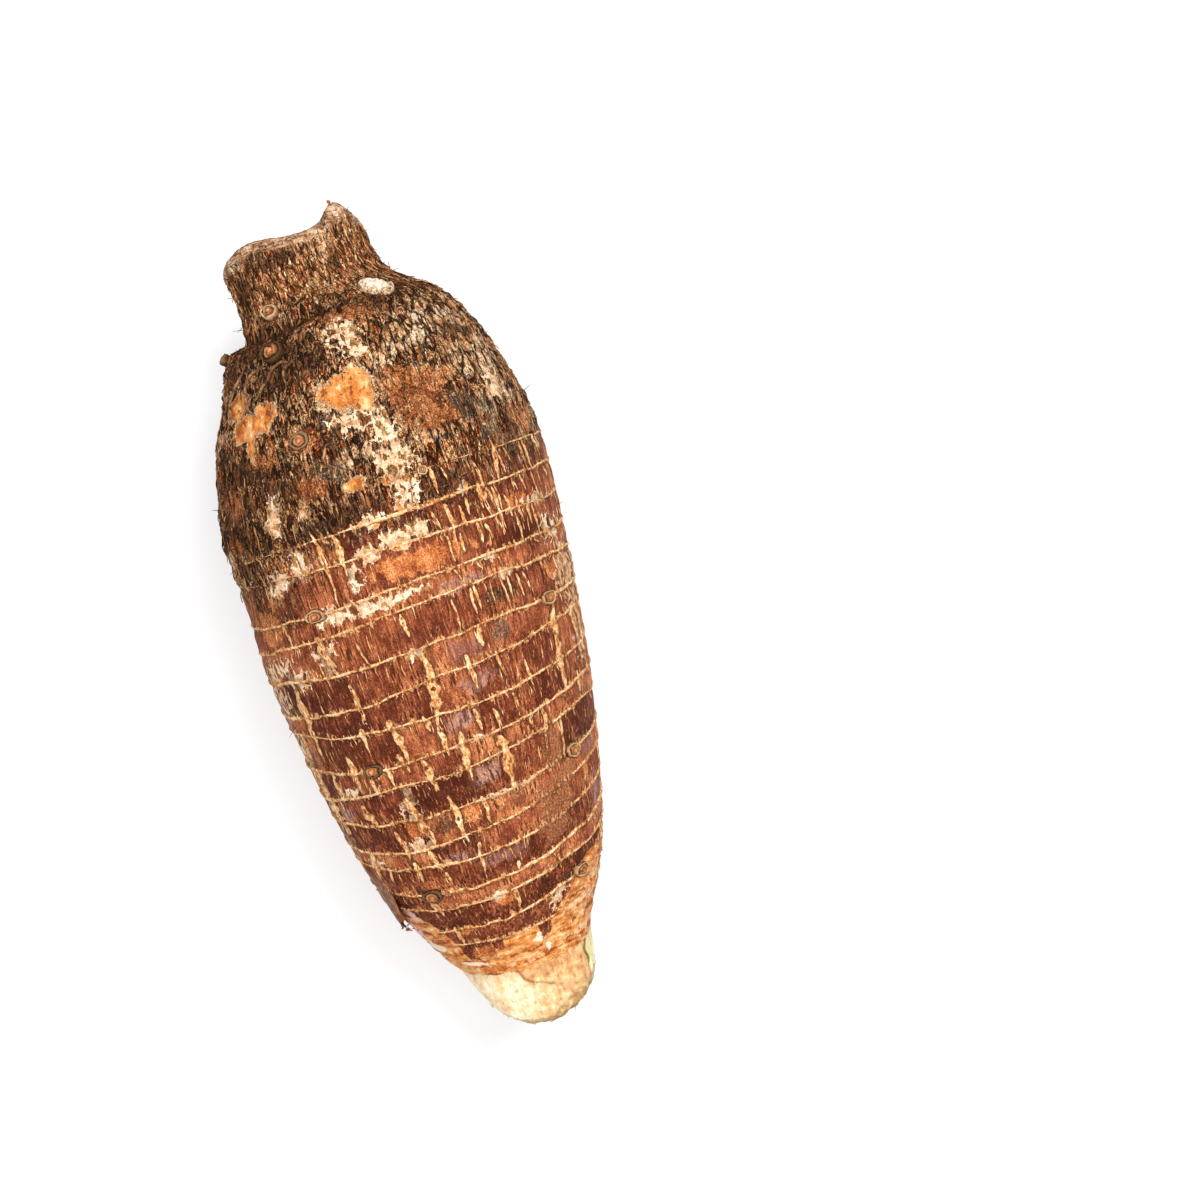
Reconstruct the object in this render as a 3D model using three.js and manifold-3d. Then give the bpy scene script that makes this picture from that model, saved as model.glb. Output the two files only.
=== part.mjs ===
// Taro corm (Colocasia esculenta), lying on its side as it comes to rest on a table.
// Millimetres, +Z up. Y runs along the corm: the broken neck is at +Y and the cut leaf stalks
// at -Y. The origin is on the table, under the middle of the bounding box.
// Angles round the corm are measured from the top (+Z) and are positive toward +X.

import * as THREE from 'three';
import { ParametricGeometry } from 'three/addons/geometries/ParametricGeometry.js';
import { mergeVertices } from 'three/addons/utils/BufferGeometryUtils.js';
import Module from 'manifold-3d';

// ---- driving dimensions ----

// Outline seen from above: [y, left edge x, right edge x].
const OUTLINE = [
  [-118, -17, 21.8],
  [-112, -19.6, 23.4],
  [-106, -23.8, 24.8],
  [-94, -30.4, 30.5],
  [-81, -37.2, 35.9],
  [-56, -43.9, 42],
  [-31, -48.1, 46.9],
  [-6, -51.8, 50],
  [20, -52, 52.3],
  [39, -52.9, 53.3],
  [57, -50, 52.2],
  [70, -46.4, 49],
  [83, -40.4, 44.8],
  [91, -37.2, 40.4],
  [95, -34.6, 37.8],
  [99, -30.4, 34.2],
  [104, -27.4, 26.6],
  [109, -27.6, 21.6],
  [115, -28.2, 19.4],
  [121, -28.9, 18.4],
  [132, -29, 17.6],
];
const OUTLINE_INSET = 0.6;    // the outline runs over the ring ridges, this far outside the skin
const HEIGHT_TO_WIDTH = 0.93;
const SPINE_HEIGHT = 46;      // height of the middle of the section at y = 0
const SPINE_RISE = 0.045;     // rise of the middle line per mm toward the neck

// Leaf scars, from the shoulder to the leaf stalks: where each ring crosses
// the left side, the top and the right side.
const RINGS = [
  [63.6, 61.9, 63.6],
  [54.4, 51.7, 54.4],
  [45.7, 42, 45.8],
  [33.8, 31, 36.7],
  [26.5, 21.9, 27.1],
  [13, 9.9, 17.5],
  [3.8, 3.2, 9.5],
  [-5.7, -9.4, -0.9],
  [-15.4, -19.9, -7.2],
  [-20.8, -30, -18.1],
  [-31.9, -41, -27.4],
  [-42, -48, -34.3],
  [-50.1, -59, -45.2],
  [-58.7, -68, -51.1],
  [-64.5, -74.8, -60.1],
  [-73.7, -83.5, -68.1],
  [-80.7, -88.4, -75.1],
  [-88.5, -96.2, -82],
  [-95.4, -102.3, -90.8],
  [-101.3, -107.5, -97.2],
  [-108.5, -114.6, -109.2],
];
const RING_RIDGE = 0.7;       // height of the fibre ridge on a leaf scar
const RING_FOOT = -0.25;      // hollow on its leaf side
const PLATE_SWELL = 0.2;      // swell of the skin between two scars
const FOOT_AT = 0.16;         // places of the hollow and the swell, as parts of the spacing
const SWELL_AT = 0.6;
const BARK_ROUGHNESS = 0.6;   // of the corky shoulder and neck

// Broken end of the neck: how far its rim reaches at each angle round it.
const NECK_RIM = [
  [-180, 117.5],
  [-135, 117.5],
  [-90, 120.2],
  [-60, 123.2],
  [-28, 125.5],
  [5, 123.9],
  [20, 124.4],
  [30, 126],
  [38, 129],
  [46, 131],
  [56, 130.4],
  [70, 127],
  [90, 122.8],
  [135, 119],
  [180, 117.5],
];
const NECK_MIDDLE = 121;      // y of the middle of the broken face, before it is sunk
// The broken face inside that rim: [part of the radius, depth it is sunk].
const NECK_FACE = [
  [0.93, -0.2],
  [0.8, 1.8],
  [0.5, 4],
  [0, 4.5],
];

// Side buds sit on the leaf scars, five places to each two turns round the corm.
const BUD_ANGLES = [-33, 183, 55, -105, 111];
const FIRST_BUD_RING = 5;
const BUD_LENGTH = 8.4;       // round the corm
const BUD_WIDTH = 4.6;
const BUD_HEIGHT = 1.3;
const BUD_FLOOR_CLEARANCE = 7;
// Buds of the shoulder and neck: [angle, y, length, width, height].
const SHOULDER_BUDS = [
  [-22, 61, 8, 7, 1.2],
  [17, 42, 4, 3.4, 0.8],
  [-31, 90, 8.2, 6, 2.4],
  [-37, 103.3, 6.4, 5, 1.8],
  [32, 100.5, 9.6, 6, 2],
  [-80, 93.6, 4, 3.4, 2.6],
  [118, 60, 8, 6.6, 1.2],
  [-128, 66, 7.6, 6, 1.2],
  [170, 99, 8, 6, 2],
];

// Tongue of torn skin beside the leaf stalks: middle, half sizes and turn about the vertical.
const FLAP_MIDDLE = [-33.2, -87.6, 44];
const FLAP_HALF_SIZE = [2.1, 6.6, 6];
const FLAP_TURN = 32;

// Cut leaf stalks, one bundle of sheaths.
const STALK_CUT = [-121.5, -132.5, -121];    // where the cut crosses the left side, top and right side
const STALK_CUT_UNDER = 0.4;               // slant of the cut's lower half, as a part of the upper half's
const STALK_JOINT_MIDDLE = -109;           // y of the middle of the joint with the corm
const STALK_FACE = [0.955, 0.5, 0];        // rows of the joint face, as parts of the radius
const STALK_CUT_MIDDLE = -121.5;           // y of the middle of the cut face
const STALK_CUT_EDGES = [-14.6, 21.6];     // the two sides of the cut end
const STALK_CUT_BEND = 0.55;               // how fast the sides draw in toward the cut
const SHEATH_STEP = 0.7;                   // thickness of a leaf sheath at its free edge
const SHEATH_EDGES = [-118, 12, 63];       // angles of the free edges
const GAP = 0.3;                           // between the stalks and the corm

const AROUND = 52;            // faces round the corm

// ---- reading the tables ----

// Smooth curve through a table of [position, value, ...] rows.
function along(table, column, at) {
  let i = table.findIndex((row) => row[0] > at) - 1;
  if (i < 0) i = at < table[0][0] ? 0 : table.length - 2;
  const slope = (a, b) => (table[b][column] - table[a][column]) / (table[b][0] - table[a][0]);
  const before = Math.max(i - 1, 0);
  const after = Math.min(i + 2, table.length - 1);
  const span = table[i + 1][0] - table[i][0];
  const t = THREE.MathUtils.clamp((at - table[i][0]) / span, 0, 1);
  const start = slope(before, i + 1) * span;
  const end = slope(i, after) * span;
  const [p, q] = [table[i][column], table[i + 1][column]];
  return p + t * (start + t * (3 * (q - p) - 2 * start - end + t * (2 * (p - q) + start + end)));
}

// Y of an oblique ring, given where it crosses the left side, the top and the right side.
function ringAt([left, top, right], angle) {
  const middle = (left + right) / 2;
  return middle + (top - middle) * Math.cos(angle) + ((right - left) / 2) * Math.sin(angle);
}

const halfWidth = (y) => (along(OUTLINE, 2, y) - along(OUTLINE, 1, y)) / 2 - OUTLINE_INSET;
const middleX = (y) => (along(OUTLINE, 2, y) + along(OUTLINE, 1, y)) / 2;
const middleZ = (y) => SPINE_HEIGHT + SPINE_RISE * y;

// Point on the corm, out from its middle line, with the underside cut flat by the table.
function cormPoint(angle, y, relief, target = new THREE.Vector3()) {
  const radius = halfWidth(y);
  const across = radius + relief;
  const up = radius * HEIGHT_TO_WIDTH + relief;
  const z = middleZ(y) + up * Math.cos(angle);
  return target.set(middleX(y) + across * Math.sin(angle), y, Math.max(z, 0));
}

// Corky unevenness of the old bark, strongest on top and underneath so the outline holds.
function bark(angle, y) {
  const coarse = Math.sin(3 * angle + y * 0.31) * Math.sin(5 * angle - y * 0.47);
  const fine = Math.sin(14 * angle + y * 0.9) * Math.sin(23 * angle - y * 1.3);
  return BARK_ROUGHNESS * (coarse + fine) * (0.35 + 0.65 * Math.abs(Math.cos(angle)));
}

// ---- rows of the corm's skin, from the middle of the broken face to the leaf stalks ----

const stalkJoint = (angle) => ringAt(RINGS[RINGS.length - 1], angle);
const neckRim = (angle) => along(NECK_RIM, 1, THREE.MathUtils.radToDeg(angle));

// Row between the middle of an end face and its rim, sunk below the rim by a depth.
function faceRow(rimY, middleY, scale, depth) {
  return (angle, target) => {
    const middle = new THREE.Vector3(middleX(middleY), middleY, middleZ(middleY));
    cormPoint(angle, rimY(angle), 0, target).lerp(middle, 1 - scale);
    target.y -= depth;
    return target;
  };
}

function shoulderRow(part) {
  return (angle, target) => {
    const y = THREE.MathUtils.lerp(neckRim(angle), ringAt(RINGS[0], angle), part);
    const rough = bark(angle, y) * Math.min(1, 4 * part, 4 * (1 - part));
    return cormPoint(angle, y, rough, target);
  };
}

function plateRow(ring, part, relief) {
  return (angle, target) => {
    const next = RINGS[Math.min(ring + 1, RINGS.length - 1)];
    const y = THREE.MathUtils.lerp(ringAt(RINGS[ring], angle), ringAt(next, angle), part);
    return cormPoint(angle, y, relief, target);
  };
}

function cormRows() {
  const rows = NECK_FACE.map(([scale, depth]) => faceRow(neckRim, NECK_MIDDLE, scale, depth)).reverse();
  const shoulderParts = [0, 0.05, 0.12, 0.19, 0.25, 0.3, 0.35, 0.4, 0.46, 0.53, 0.61, 0.7, 0.79, 0.9];
  rows.push(...shoulderParts.map(shoulderRow));
  for (let ring = 0; ring < RINGS.length - 1; ring++) {
    rows.push(plateRow(ring, 0, RING_RIDGE));
    rows.push(plateRow(ring, FOOT_AT, RING_FOOT));
    rows.push(plateRow(ring, SWELL_AT, PLATE_SWELL));
  }
  rows.push(plateRow(RINGS.length - 1, 0, 0.2));
  for (const scale of STALK_FACE) rows.push(faceRow(stalkJoint, STALK_JOINT_MIDDLE, scale, 0));
  return rows;
}

// ---- solids ----

// Closed skin through rows of points: each row goes once round, and the first and last are points.
function skin(rows, around) {
  const surface = (u, v, target) => {
    const row = rows[Math.round(v * (rows.length - 1))];
    row(Math.PI - (u % 1) * 2 * Math.PI, target);
  };
  return closed(new ParametricGeometry(surface, around, rows.length - 1));
}

// The same surface with shared corners joined and the flat triangles of its poles left out.
function closed(geometry) {
  geometry.deleteAttribute('normal');
  geometry.deleteAttribute('uv');
  const joined = mergeVertices(geometry, 1e-4);
  const corners = joined.index.array;
  const kept = [];
  for (let i = 0; i < corners.length; i += 3) {
    const [a, b, c] = corners.subarray(i, i + 3);
    if (a !== b && b !== c && c !== a) kept.push(a, b, c);
  }
  joined.setIndex(kept);
  return joined;
}

const wasm = await Module();
wasm.setup();

function toSolid(geometry) {
  return new wasm.Manifold(new wasm.Mesh({
    numProp: 3,
    vertProperties: Float32Array.from(geometry.attributes.position.array),
    triVerts: Uint32Array.from(geometry.index.array),
  }));
}

function toGeometry(solid) {
  const { vertProperties, triVerts } = solid.getMesh();
  const geometry = new THREE.BufferGeometry();
  geometry.setAttribute('position', new THREE.BufferAttribute(vertProperties, 3));
  geometry.setIndex(new THREE.BufferAttribute(triVerts, 1));
  geometry.computeVertexNormals();
  return geometry;
}

// Low dome rooted in the skin, lying along it.
function bud([degrees, y, length, width, height]) {
  const angle = THREE.MathUtils.degToRad(degrees);
  const seat = cormPoint(angle, y, -0.4);
  const round = cormPoint(angle + 0.05, y, -0.4).sub(seat).normalize();
  const lengthwise = cormPoint(angle, y + 2, -0.4).sub(seat).normalize();
  const out = new THREE.Vector3().crossVectors(round, lengthwise).normalize();
  lengthwise.crossVectors(out, round);
  const dome = new THREE.SphereGeometry(1, 10, 6);
  dome.scale(length / 2, width / 2, height + 0.4);
  dome.applyMatrix4(new THREE.Matrix4().makeBasis(round, lengthwise, out).setPosition(seat));
  return toSolid(closed(dome));
}

function scarBuds() {
  const buds = [];
  for (let ring = FIRST_BUD_RING; ring < RINGS.length - 2; ring++) {
    const degrees = BUD_ANGLES[(ring - FIRST_BUD_RING) % BUD_ANGLES.length];
    const y = ringAt(RINGS[ring], THREE.MathUtils.degToRad(degrees)) - 0.6;
    const high = cormPoint(THREE.MathUtils.degToRad(degrees), y, 0).z > BUD_FLOOR_CLEARANCE;
    if (high) buds.push([degrees, y, BUD_LENGTH, BUD_WIDTH, BUD_HEIGHT]);
  }
  return buds;
}

function tornFlap() {
  const flap = new THREE.SphereGeometry(1, 10, 8);
  flap.scale(...FLAP_HALF_SIZE);
  flap.rotateZ(THREE.MathUtils.degToRad(FLAP_TURN));
  flap.translate(...FLAP_MIDDLE);
  return toSolid(closed(flap));
}

function cormGeometry() {
  let solid = toSolid(skin(cormRows(), AROUND));
  for (const row of [...scarBuds(), ...SHOULDER_BUDS]) solid = solid.add(bud(row));
  return toGeometry(solid.add(tornFlap()));
}

// Leaf stalks: rows from the joint with the corm to the middle of the cut face.
function sheath(angle) {
  const degrees = THREE.MathUtils.radToDeg(angle);
  const layer = SHEATH_EDGES.filter((edge) => degrees > edge).length;
  return SHEATH_STEP * (layer % 2);
}

function stalkCut(angle) {
  const y = ringAt(STALK_CUT, angle);
  return Math.abs(angle) < Math.PI / 2 ? y : STALK_CUT_MIDDLE + (y - STALK_CUT_MIDDLE) * STALK_CUT_UNDER;
}

function stalkRow(part, scale, withSheaths = true) {
  return (angle, target) => {
    const start = stalkJoint(angle) - GAP;
    const draw = part ** (1 / STALK_CUT_BEND);
    const left = THREE.MathUtils.lerp(along(OUTLINE, 1, start), STALK_CUT_EDGES[0], draw);
    const right = THREE.MathUtils.lerp(along(OUTLINE, 2, start), STALK_CUT_EDGES[1], draw);
    const radius = (right - left) / 2 - 1 + (withSheaths ? sheath(angle) : 0);
    const up = radius * HEIGHT_TO_WIDTH * Math.cos(angle);
    const y = THREE.MathUtils.lerp(start, stalkCut(angle), part);
    target.set((left + right) / 2 + radius * Math.sin(angle), y, middleZ(start) + up);
    const faceY = THREE.MathUtils.lerp(STALK_JOINT_MIDDLE - GAP, STALK_CUT_MIDDLE, part);
    const middle = new THREE.Vector3(middleX(STALK_JOINT_MIDDLE), faceY, middleZ(STALK_JOINT_MIDDLE));
    return target.lerp(middle, 1 - scale);
  };
}

function stalkGeometry() {
  const rows = STALK_FACE.map((scale) => faceRow(stalkJoint, STALK_JOINT_MIDDLE, scale, GAP)).reverse();
  for (const part of [0.12, 0.3, 0.5, 0.7, 0.88]) rows.push(stalkRow(part, 1));
  rows.push(stalkRow(0.97, 0.985), stalkRow(1, 0.92), stalkRow(1, 0.5, false), stalkRow(1, 0));
  const geometry = skin(rows, AROUND);
  geometry.computeVertexNormals();
  return geometry;
}

// ---- the two pieces ----

function piece(name, geometry, color, roughness) {
  const material = new THREE.MeshStandardMaterial({ color, roughness, metalness: 0, flatShading: true });
  const mesh = new THREE.Mesh(geometry, material);
  mesh.name = name;
  return mesh;
}

const taro = new THREE.Group();
taro.add(
  piece('corm', cormGeometry(), 0x7d4429, 0.6),
  piece('leaf_stalk_stub', stalkGeometry(), 0xf0e2bf, 0.55),
);

export default taro;
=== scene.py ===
import math

import bpy
import numpy as np
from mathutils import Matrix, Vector


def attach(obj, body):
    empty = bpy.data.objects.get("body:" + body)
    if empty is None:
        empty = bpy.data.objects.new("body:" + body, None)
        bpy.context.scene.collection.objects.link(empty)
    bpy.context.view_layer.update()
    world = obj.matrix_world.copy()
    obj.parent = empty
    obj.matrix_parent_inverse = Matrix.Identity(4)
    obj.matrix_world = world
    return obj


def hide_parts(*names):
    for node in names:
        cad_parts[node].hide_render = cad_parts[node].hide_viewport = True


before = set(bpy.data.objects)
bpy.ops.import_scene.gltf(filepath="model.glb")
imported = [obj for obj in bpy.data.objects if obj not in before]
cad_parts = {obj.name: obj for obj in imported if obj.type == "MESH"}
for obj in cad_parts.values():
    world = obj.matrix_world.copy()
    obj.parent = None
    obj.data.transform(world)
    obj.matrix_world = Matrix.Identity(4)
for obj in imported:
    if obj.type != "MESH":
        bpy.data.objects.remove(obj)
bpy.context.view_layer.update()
MM = 0.001


# ---- Corm skin ----
# The corm is the swollen stem of the plant. Its skin is thin brown bark in rings, one plate between
# each two leaf scars. The older shoulder is dark fibrous bark, flaking off in places, and the neck
# is where the corm was broken off its mother corm. All lengths in this file are in mm.

# Outline seen from above: y, left edge x, right edge x.
OUTLINE = np.array([
    (-118, -17, 21.8), (-112, -19.6, 23.4), (-106, -23.8, 24.8), (-94, -30.4, 30.5), (-81, -37.2, 35.9),
    (-56, -43.9, 42), (-31, -48.1, 46.9), (-6, -51.8, 50), (20, -52, 52.3), (39, -52.9, 53.3),
    (57, -50, 52.2), (70, -46.4, 49), (83, -40.4, 44.8), (91, -37.2, 40.4), (95, -34.6, 37.8),
    (99, -30.4, 34.2), (104, -27.4, 26.6), (109, -27.6, 21.6), (115, -28.2, 19.4), (121, -28.9, 18.4),
    (132, -29, 17.6),
])
OUTLINE_INSET = 0.6
HEIGHT_TO_WIDTH = 0.93
SPINE_HEIGHT = 46
SPINE_RISE = 0.045

# Leaf scars from the shoulder to the leaf stalks: y on the left side, on top and on the right side,
# and how strongly each still shows.
SCARS = np.array([
    (63.6, 61.9, 63.6, 0.1), (54.4, 51.7, 54.4, 0.15), (45.7, 42, 45.8, 0.5), (33.8, 31, 36.7, 0.8),
    (26.5, 21.9, 27.1, 0.7), (13, 9.9, 17.5, 1), (3.8, 3.2, 9.5, 0.9), (-5.7, -9.4, -0.9, 1),
    (-15.4, -19.9, -7.2, 0.95), (-20.8, -30, -18.1, 1.1), (-31.9, -41, -27.4, 1.2), (-42, -48, -34.3, 0.9),
    (-50.1, -59, -45.2, 1.1), (-58.7, -68, -51.1, 1), (-64.5, -74.8, -60.1, 0.9), (-73.7, -83.5, -68.1, 1.2),
    (-80.7, -88.4, -75.1, 1), (-88.5, -96.2, -82, 0.9), (-95.4, -102.3, -90.8, 0.9), (-101.3, -107.5, -97.2, 0.5),
    (-108.5, -114.6, -109.2, 0),
])

# Rim of the broken neck: angle from the top in degrees, y.
NECK_RIM = np.array([
    (-180, 117.5), (-135, 117.5), (-90, 120.2), (-60, 123.2), (-28, 125.5), (5, 123.9), (20, 124.4),
    (30, 126), (38, 129), (46, 131), (56, 130.4), (70, 127), (90, 122.8), (135, 119), (180, 117.5),
])
NECK_MIDDLE = 121

COLUMNS = 284
FACE_ROWS = 18
SHOULDER_ROWS = 88
LIP_ROWS = 4
# Rows of one plate, as parts of its length, close together at the scars.
PLATE_ROWS = (0, 0.05, 0.11, 0.19, 0.29, 0.4, 0.51, 0.62, 0.73, 0.83, 0.91, 0.96)


def along(table, column, at):
    """Smooth curve through one column of a table whose first column is the place."""
    place, value = table[:, 0], table[:, column]
    slope = np.empty(len(place))
    slope[1:-1] = (value[2:] - value[:-2]) / (place[2:] - place[:-2])
    slope[0] = (value[1] - value[0]) / (place[1] - place[0])
    slope[-1] = (value[-1] - value[-2]) / (place[-1] - place[-2])
    i = np.clip(np.searchsorted(place, at) - 1, 0, len(place) - 2)
    span = place[i + 1] - place[i]
    t = np.clip((at - place[i]) / span, 0, 1)
    p, q, start, end = value[i], value[i + 1], slope[i] * span, slope[i + 1] * span
    return p + t * (start + t * (3 * (q - p) - 2 * start - end + t * (2 * (p - q) + start + end)))


def half_width(y):
    return (along(OUTLINE, 2, y) - along(OUTLINE, 1, y)) / 2 - OUTLINE_INSET


def scar_y(number, angle):
    """Y of the oblique ring with this number, which may fall between two scars."""
    left, top, right = (np.interp(number, np.arange(len(SCARS)), SCARS[:, k]) for k in range(3))
    middle = (left + right) / 2
    return middle + (top - middle) * np.cos(angle) + (right - left) / 2 * np.sin(angle)


def neck_rim(angle):
    return along(NECK_RIM, 1, np.degrees(angle))


def skin_point(angle, y):
    """Point on the smooth skin, as the last axis of an array."""
    x = (along(OUTLINE, 2, y) + along(OUTLINE, 1, y)) / 2 + half_width(y) * np.sin(angle)
    z = SPINE_HEIGHT + SPINE_RISE * y + half_width(y) * HEIGHT_TO_WIDTH * np.cos(angle)
    return np.stack(np.broadcast_arrays(x, y, z), axis=-1)


def noise(points, seed, octaves=1):
    """Smooth random values from about -1 to 1, with one cell per unit in the first octave."""
    total = np.zeros(points.shape[:-1])
    for octave in range(octaves):
        scaled = points * 2.0 ** octave + 37.3 * octave
        cell = np.floor(scaled).astype(np.int64)
        part = scaled - cell
        part = part * part * (3 - 2 * part)
        value = np.zeros(total.shape)
        for corner in np.ndindex(2, 2, 2):
            key = ((cell + corner) * (73856093, 19349663, 83492791)).sum(axis=-1) + seed * 7919
            key = ((key ^ (key >> 13)) * 1274126177) & 0xFFFFFFFF
            weight = np.where(corner, part, 1 - part).prod(axis=-1)
            value += weight * (((key ^ (key >> 15)) & 0xFFFF) / 32767.5 - 1)
        total += value * 0.5 ** octave
    return total


def smooth(value, low, high):
    """0 below low, 1 above high and a soft step between."""
    t = np.clip((value - low) / (high - low), 0, 1)
    return t * t * (3 - 2 * t)


def normals_of(points):
    """Outward unit normals of a grid of points that closes on itself across its columns."""
    down = np.gradient(points, axis=0)
    across = np.roll(points[:, :-1], -1, axis=1) - np.roll(points[:, :-1], 1, axis=1)
    out = np.cross(down, np.concatenate([across, across[:, :1]], axis=1))
    return out / np.maximum(np.linalg.norm(out, axis=-1, keepdims=True), 1e-9)


# Angle, y and ring number of every vertex. The ring number is negative above the first scar.
turn = np.linspace(-math.pi, math.pi, COLUMNS + 1)
column_angle = turn - 0.24 * np.sin(turn)
last_scar = len(SCARS) - 1
face_scale = np.linspace(0, 1, FACE_ROWS, endpoint=False) ** 0.6
shoulder_part = np.linspace(0, 1, SHOULDER_ROWS, endpoint=False)
plate_number = np.concatenate([i + np.array(PLATE_ROWS) for i in range(last_scar)] + [[last_scar]])
row_count = FACE_ROWS + SHOULDER_ROWS + len(plate_number) + LIP_ROWS
face_rows = slice(0, FACE_ROWS)
shoulder_rows = slice(FACE_ROWS, FACE_ROWS + SHOULDER_ROWS)
first_plate_row = FACE_ROWS + SHOULDER_ROWS
plate_rows = slice(first_plate_row, row_count - LIP_ROWS)
lip_rows = slice(row_count - LIP_ROWS, row_count)

angle = np.broadcast_to(column_angle, (row_count, COLUMNS + 1)).copy()
degrees = np.degrees(angle)
y = np.empty_like(angle)
ring_number = np.full_like(angle, -9.0)
rim = neck_rim(column_angle)
y[face_rows] = rim
y[shoulder_rows] = rim + (scar_y(0, column_angle) - rim) * shoulder_part[:, None]
ring_number[plate_rows] = plate_number[:, None]
y[plate_rows] = scar_y(ring_number[plate_rows], angle[plate_rows])
y[lip_rows] = scar_y(last_scar, column_angle)
ring_number[lip_rows] = last_scar
round_place = np.stack([np.sin(angle), np.cos(angle), ring_number * 0.9], axis=-1)
wobble = 0.8 * noise(round_place * (2.2, 2.2, 1), 1) + 0.3 * noise(round_place * (7, 7, 1), 2)
ragged = noise(round_place * (6, 6, 1), 3, 3)
in_rings = smooth(ring_number, -0.01, 1) * smooth(last_scar - ring_number, -0.01, 1)
y += wobble * in_rings
y -= 0.9 * ragged * smooth(ring_number, last_scar - 0.5, last_scar)
# Level of a ring: its y on top of the corm.
level = np.broadcast_to(y[:, [COLUMNS // 2]], y.shape)
rim_gap = np.clip(rim - y, 0, 50)

skin = skin_point(angle, y)
neck_middle = np.array([(along(OUTLINE, 2, NECK_MIDDLE) + along(OUTLINE, 1, NECK_MIDDLE)) / 2, NECK_MIDDLE,
                        SPINE_HEIGHT + SPINE_RISE * NECK_MIDDLE])
for row, scale in enumerate(face_scale):
    skin[row] = neck_middle + (skin[row] - neck_middle) * scale
    skin[row, :, 1] -= 4.2 * (1 - scale ** 4)
end_middle = np.array([2.0, -109.0, SPINE_HEIGHT - SPINE_RISE * 109])
for row, (scale, back) in enumerate(((0.985, 0), (0.95, 0), (0.9, 3.5), (0, 4)), row_count - LIP_ROWS):
    skin[row] = end_middle + (skin[row] - end_middle) * scale
    skin[row, :, 1] += back if scale else 0

# Distance from each vertex to the nearest leaf scar along the corm, positive on the leaf side.
nearest = np.clip(np.round(ring_number), 0, last_scar)
side = ring_number - nearest
next_scar = np.clip(nearest + np.sign(side), 0, last_scar)
scar_gap = side * np.abs(scar_y(next_scar, angle) - scar_y(nearest, angle))
scar_gap = np.where(ring_number < -1, 12.0, scar_gap)
strength = SCARS[nearest.astype(int), 3] * smooth(ring_number, -1.5, 0)

# Cork seams on top of the corm: angle of the upper and lower end, level of both and half width.
SEAMS = [
    (2, -1, -9, -33, 1.25), (-28, -28, -13, -27, 1), (-32, -31, -28, -35, 0.9), (-19, -17, -27, -41, 1),
    (-3, -2, 2.5, -6, 0.5), (-20, -18, -1.5, -9.5, 0.4), (15, 16, -16, -27, 0.7), (26, 28, -19, -28, 0.45),
    (13, 13.5, -32, -39, 0.7), (20, 21, -34, -41, 0.5), (-2, -1, -33, -43, 0.7), (-6, -5, -29, -34, 0.6),
    (57, 54, -13, -38, 1.2), (37, 39, -25, -35, 0.4), (-55, -58, -8, -38, 1.2), (-68, -69, -29, -39, 1.3),
    (69, 71, -19, -29, 0.8), (76, 78, -12, -41, 1.6), (-35, -31, 4, -11, 1), (45, 44, 46, 30, 0.5),
    (35, 37, 32.5, 22, 0.7), (30, 30, 34, 30, 0.7), (-25, -23, 34, 11, 0.5), (-18, -17, 31, 18, 0.6),
    (16, 18, 29, 23, 0.4), (21, 23, 30, 23, 0.4), (26, 27, 28, 21, 0.4), (40, 42, 30, 16, 0.4),
    (44, 46, 27, 19, 0.35), (49, 51, 25, 16, 0.4), (-50, -46, 10, 1, 0.4), (54, 55, 22, 14, 0.4),
    (-12, -9, -41, -53, 0.9), (5, 5.5, -37, -53, 0.9), (20, 22, -43, -63, 1.15), (-24, -19, -51, -68, 1.4),
    (-43, -42, -36, -48, 0.9), (-36, -35, -43, -48, 0.8), (-27, -26, -41, -47, 0.6), (29, 30, -32, -40, 0.4),
    (-35, -34, -61, -71, 0.6), (-46, -43, -51, -61, 1), (-71, -67, -40, -66, 1.7), (-57, -56, -41, -49, 1.2),
    (56, 55, -31, -43, 0.7), (66, 66, -38, -46, 0.6), (35, 35, -40, -46, 0.5), (41, 40, -42, -55, 0.5),
    (50, 49, -49, -60, 0.5), (-6, -4, -54, -70, 0.8), (7, 8, -58, -67, 0.6), (-23, -21, -69, -79, 0.6),
    (-58, -61, -69, -79, 1.1), (0, -2, -71, -81, 0.6), (-34, -35, -95, -102, 0.55), (-38, -35, -83, -91, 0.8),
    (11, 9, -89, -95, 0.6), (37, 39, -86, -91, 0.45), (-20, -19, -77, -81, 0.6), (15, 15, -81, -84, 0.3),
    (-50, -52, -74, -80, 0.8), (-33, -33, -72, -79, 0.8), (-20, -18, -38, -44, 0.7), (22, 22, -9, -16, 0.7),
]
# The same kind of seams go on all round the hidden sides, and narrow ones crowd the upper plates.
chance = np.random.default_rng(4)
for number in range(2, 7):
    for place in range(14, 78, 4):
        if chance.random() < 0.6:
            start = place + chance.uniform(-1.6, 1.6)
            upper = SCARS[number, 1] - chance.uniform(0, 2)
            lower = SCARS[number + 1, 1] + chance.uniform(-2, 5)
            SEAMS.append((start, start + chance.uniform(0, 2), upper, lower, chance.uniform(0.2, 0.45)))
for number in range(3, last_scar - 1):
    for place in range(84, 277, 13):
        if chance.random() < 0.72:
            start = place + chance.uniform(-5, 5)
            upper = SCARS[number, 1] + chance.uniform(-3, 2)
            lower = SCARS[number + 1, 1] - chance.uniform(-5, 9)
            SEAMS.append((start, start + chance.uniform(-3, 3), upper, lower, chance.uniform(0.35, 1.2)))

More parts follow.
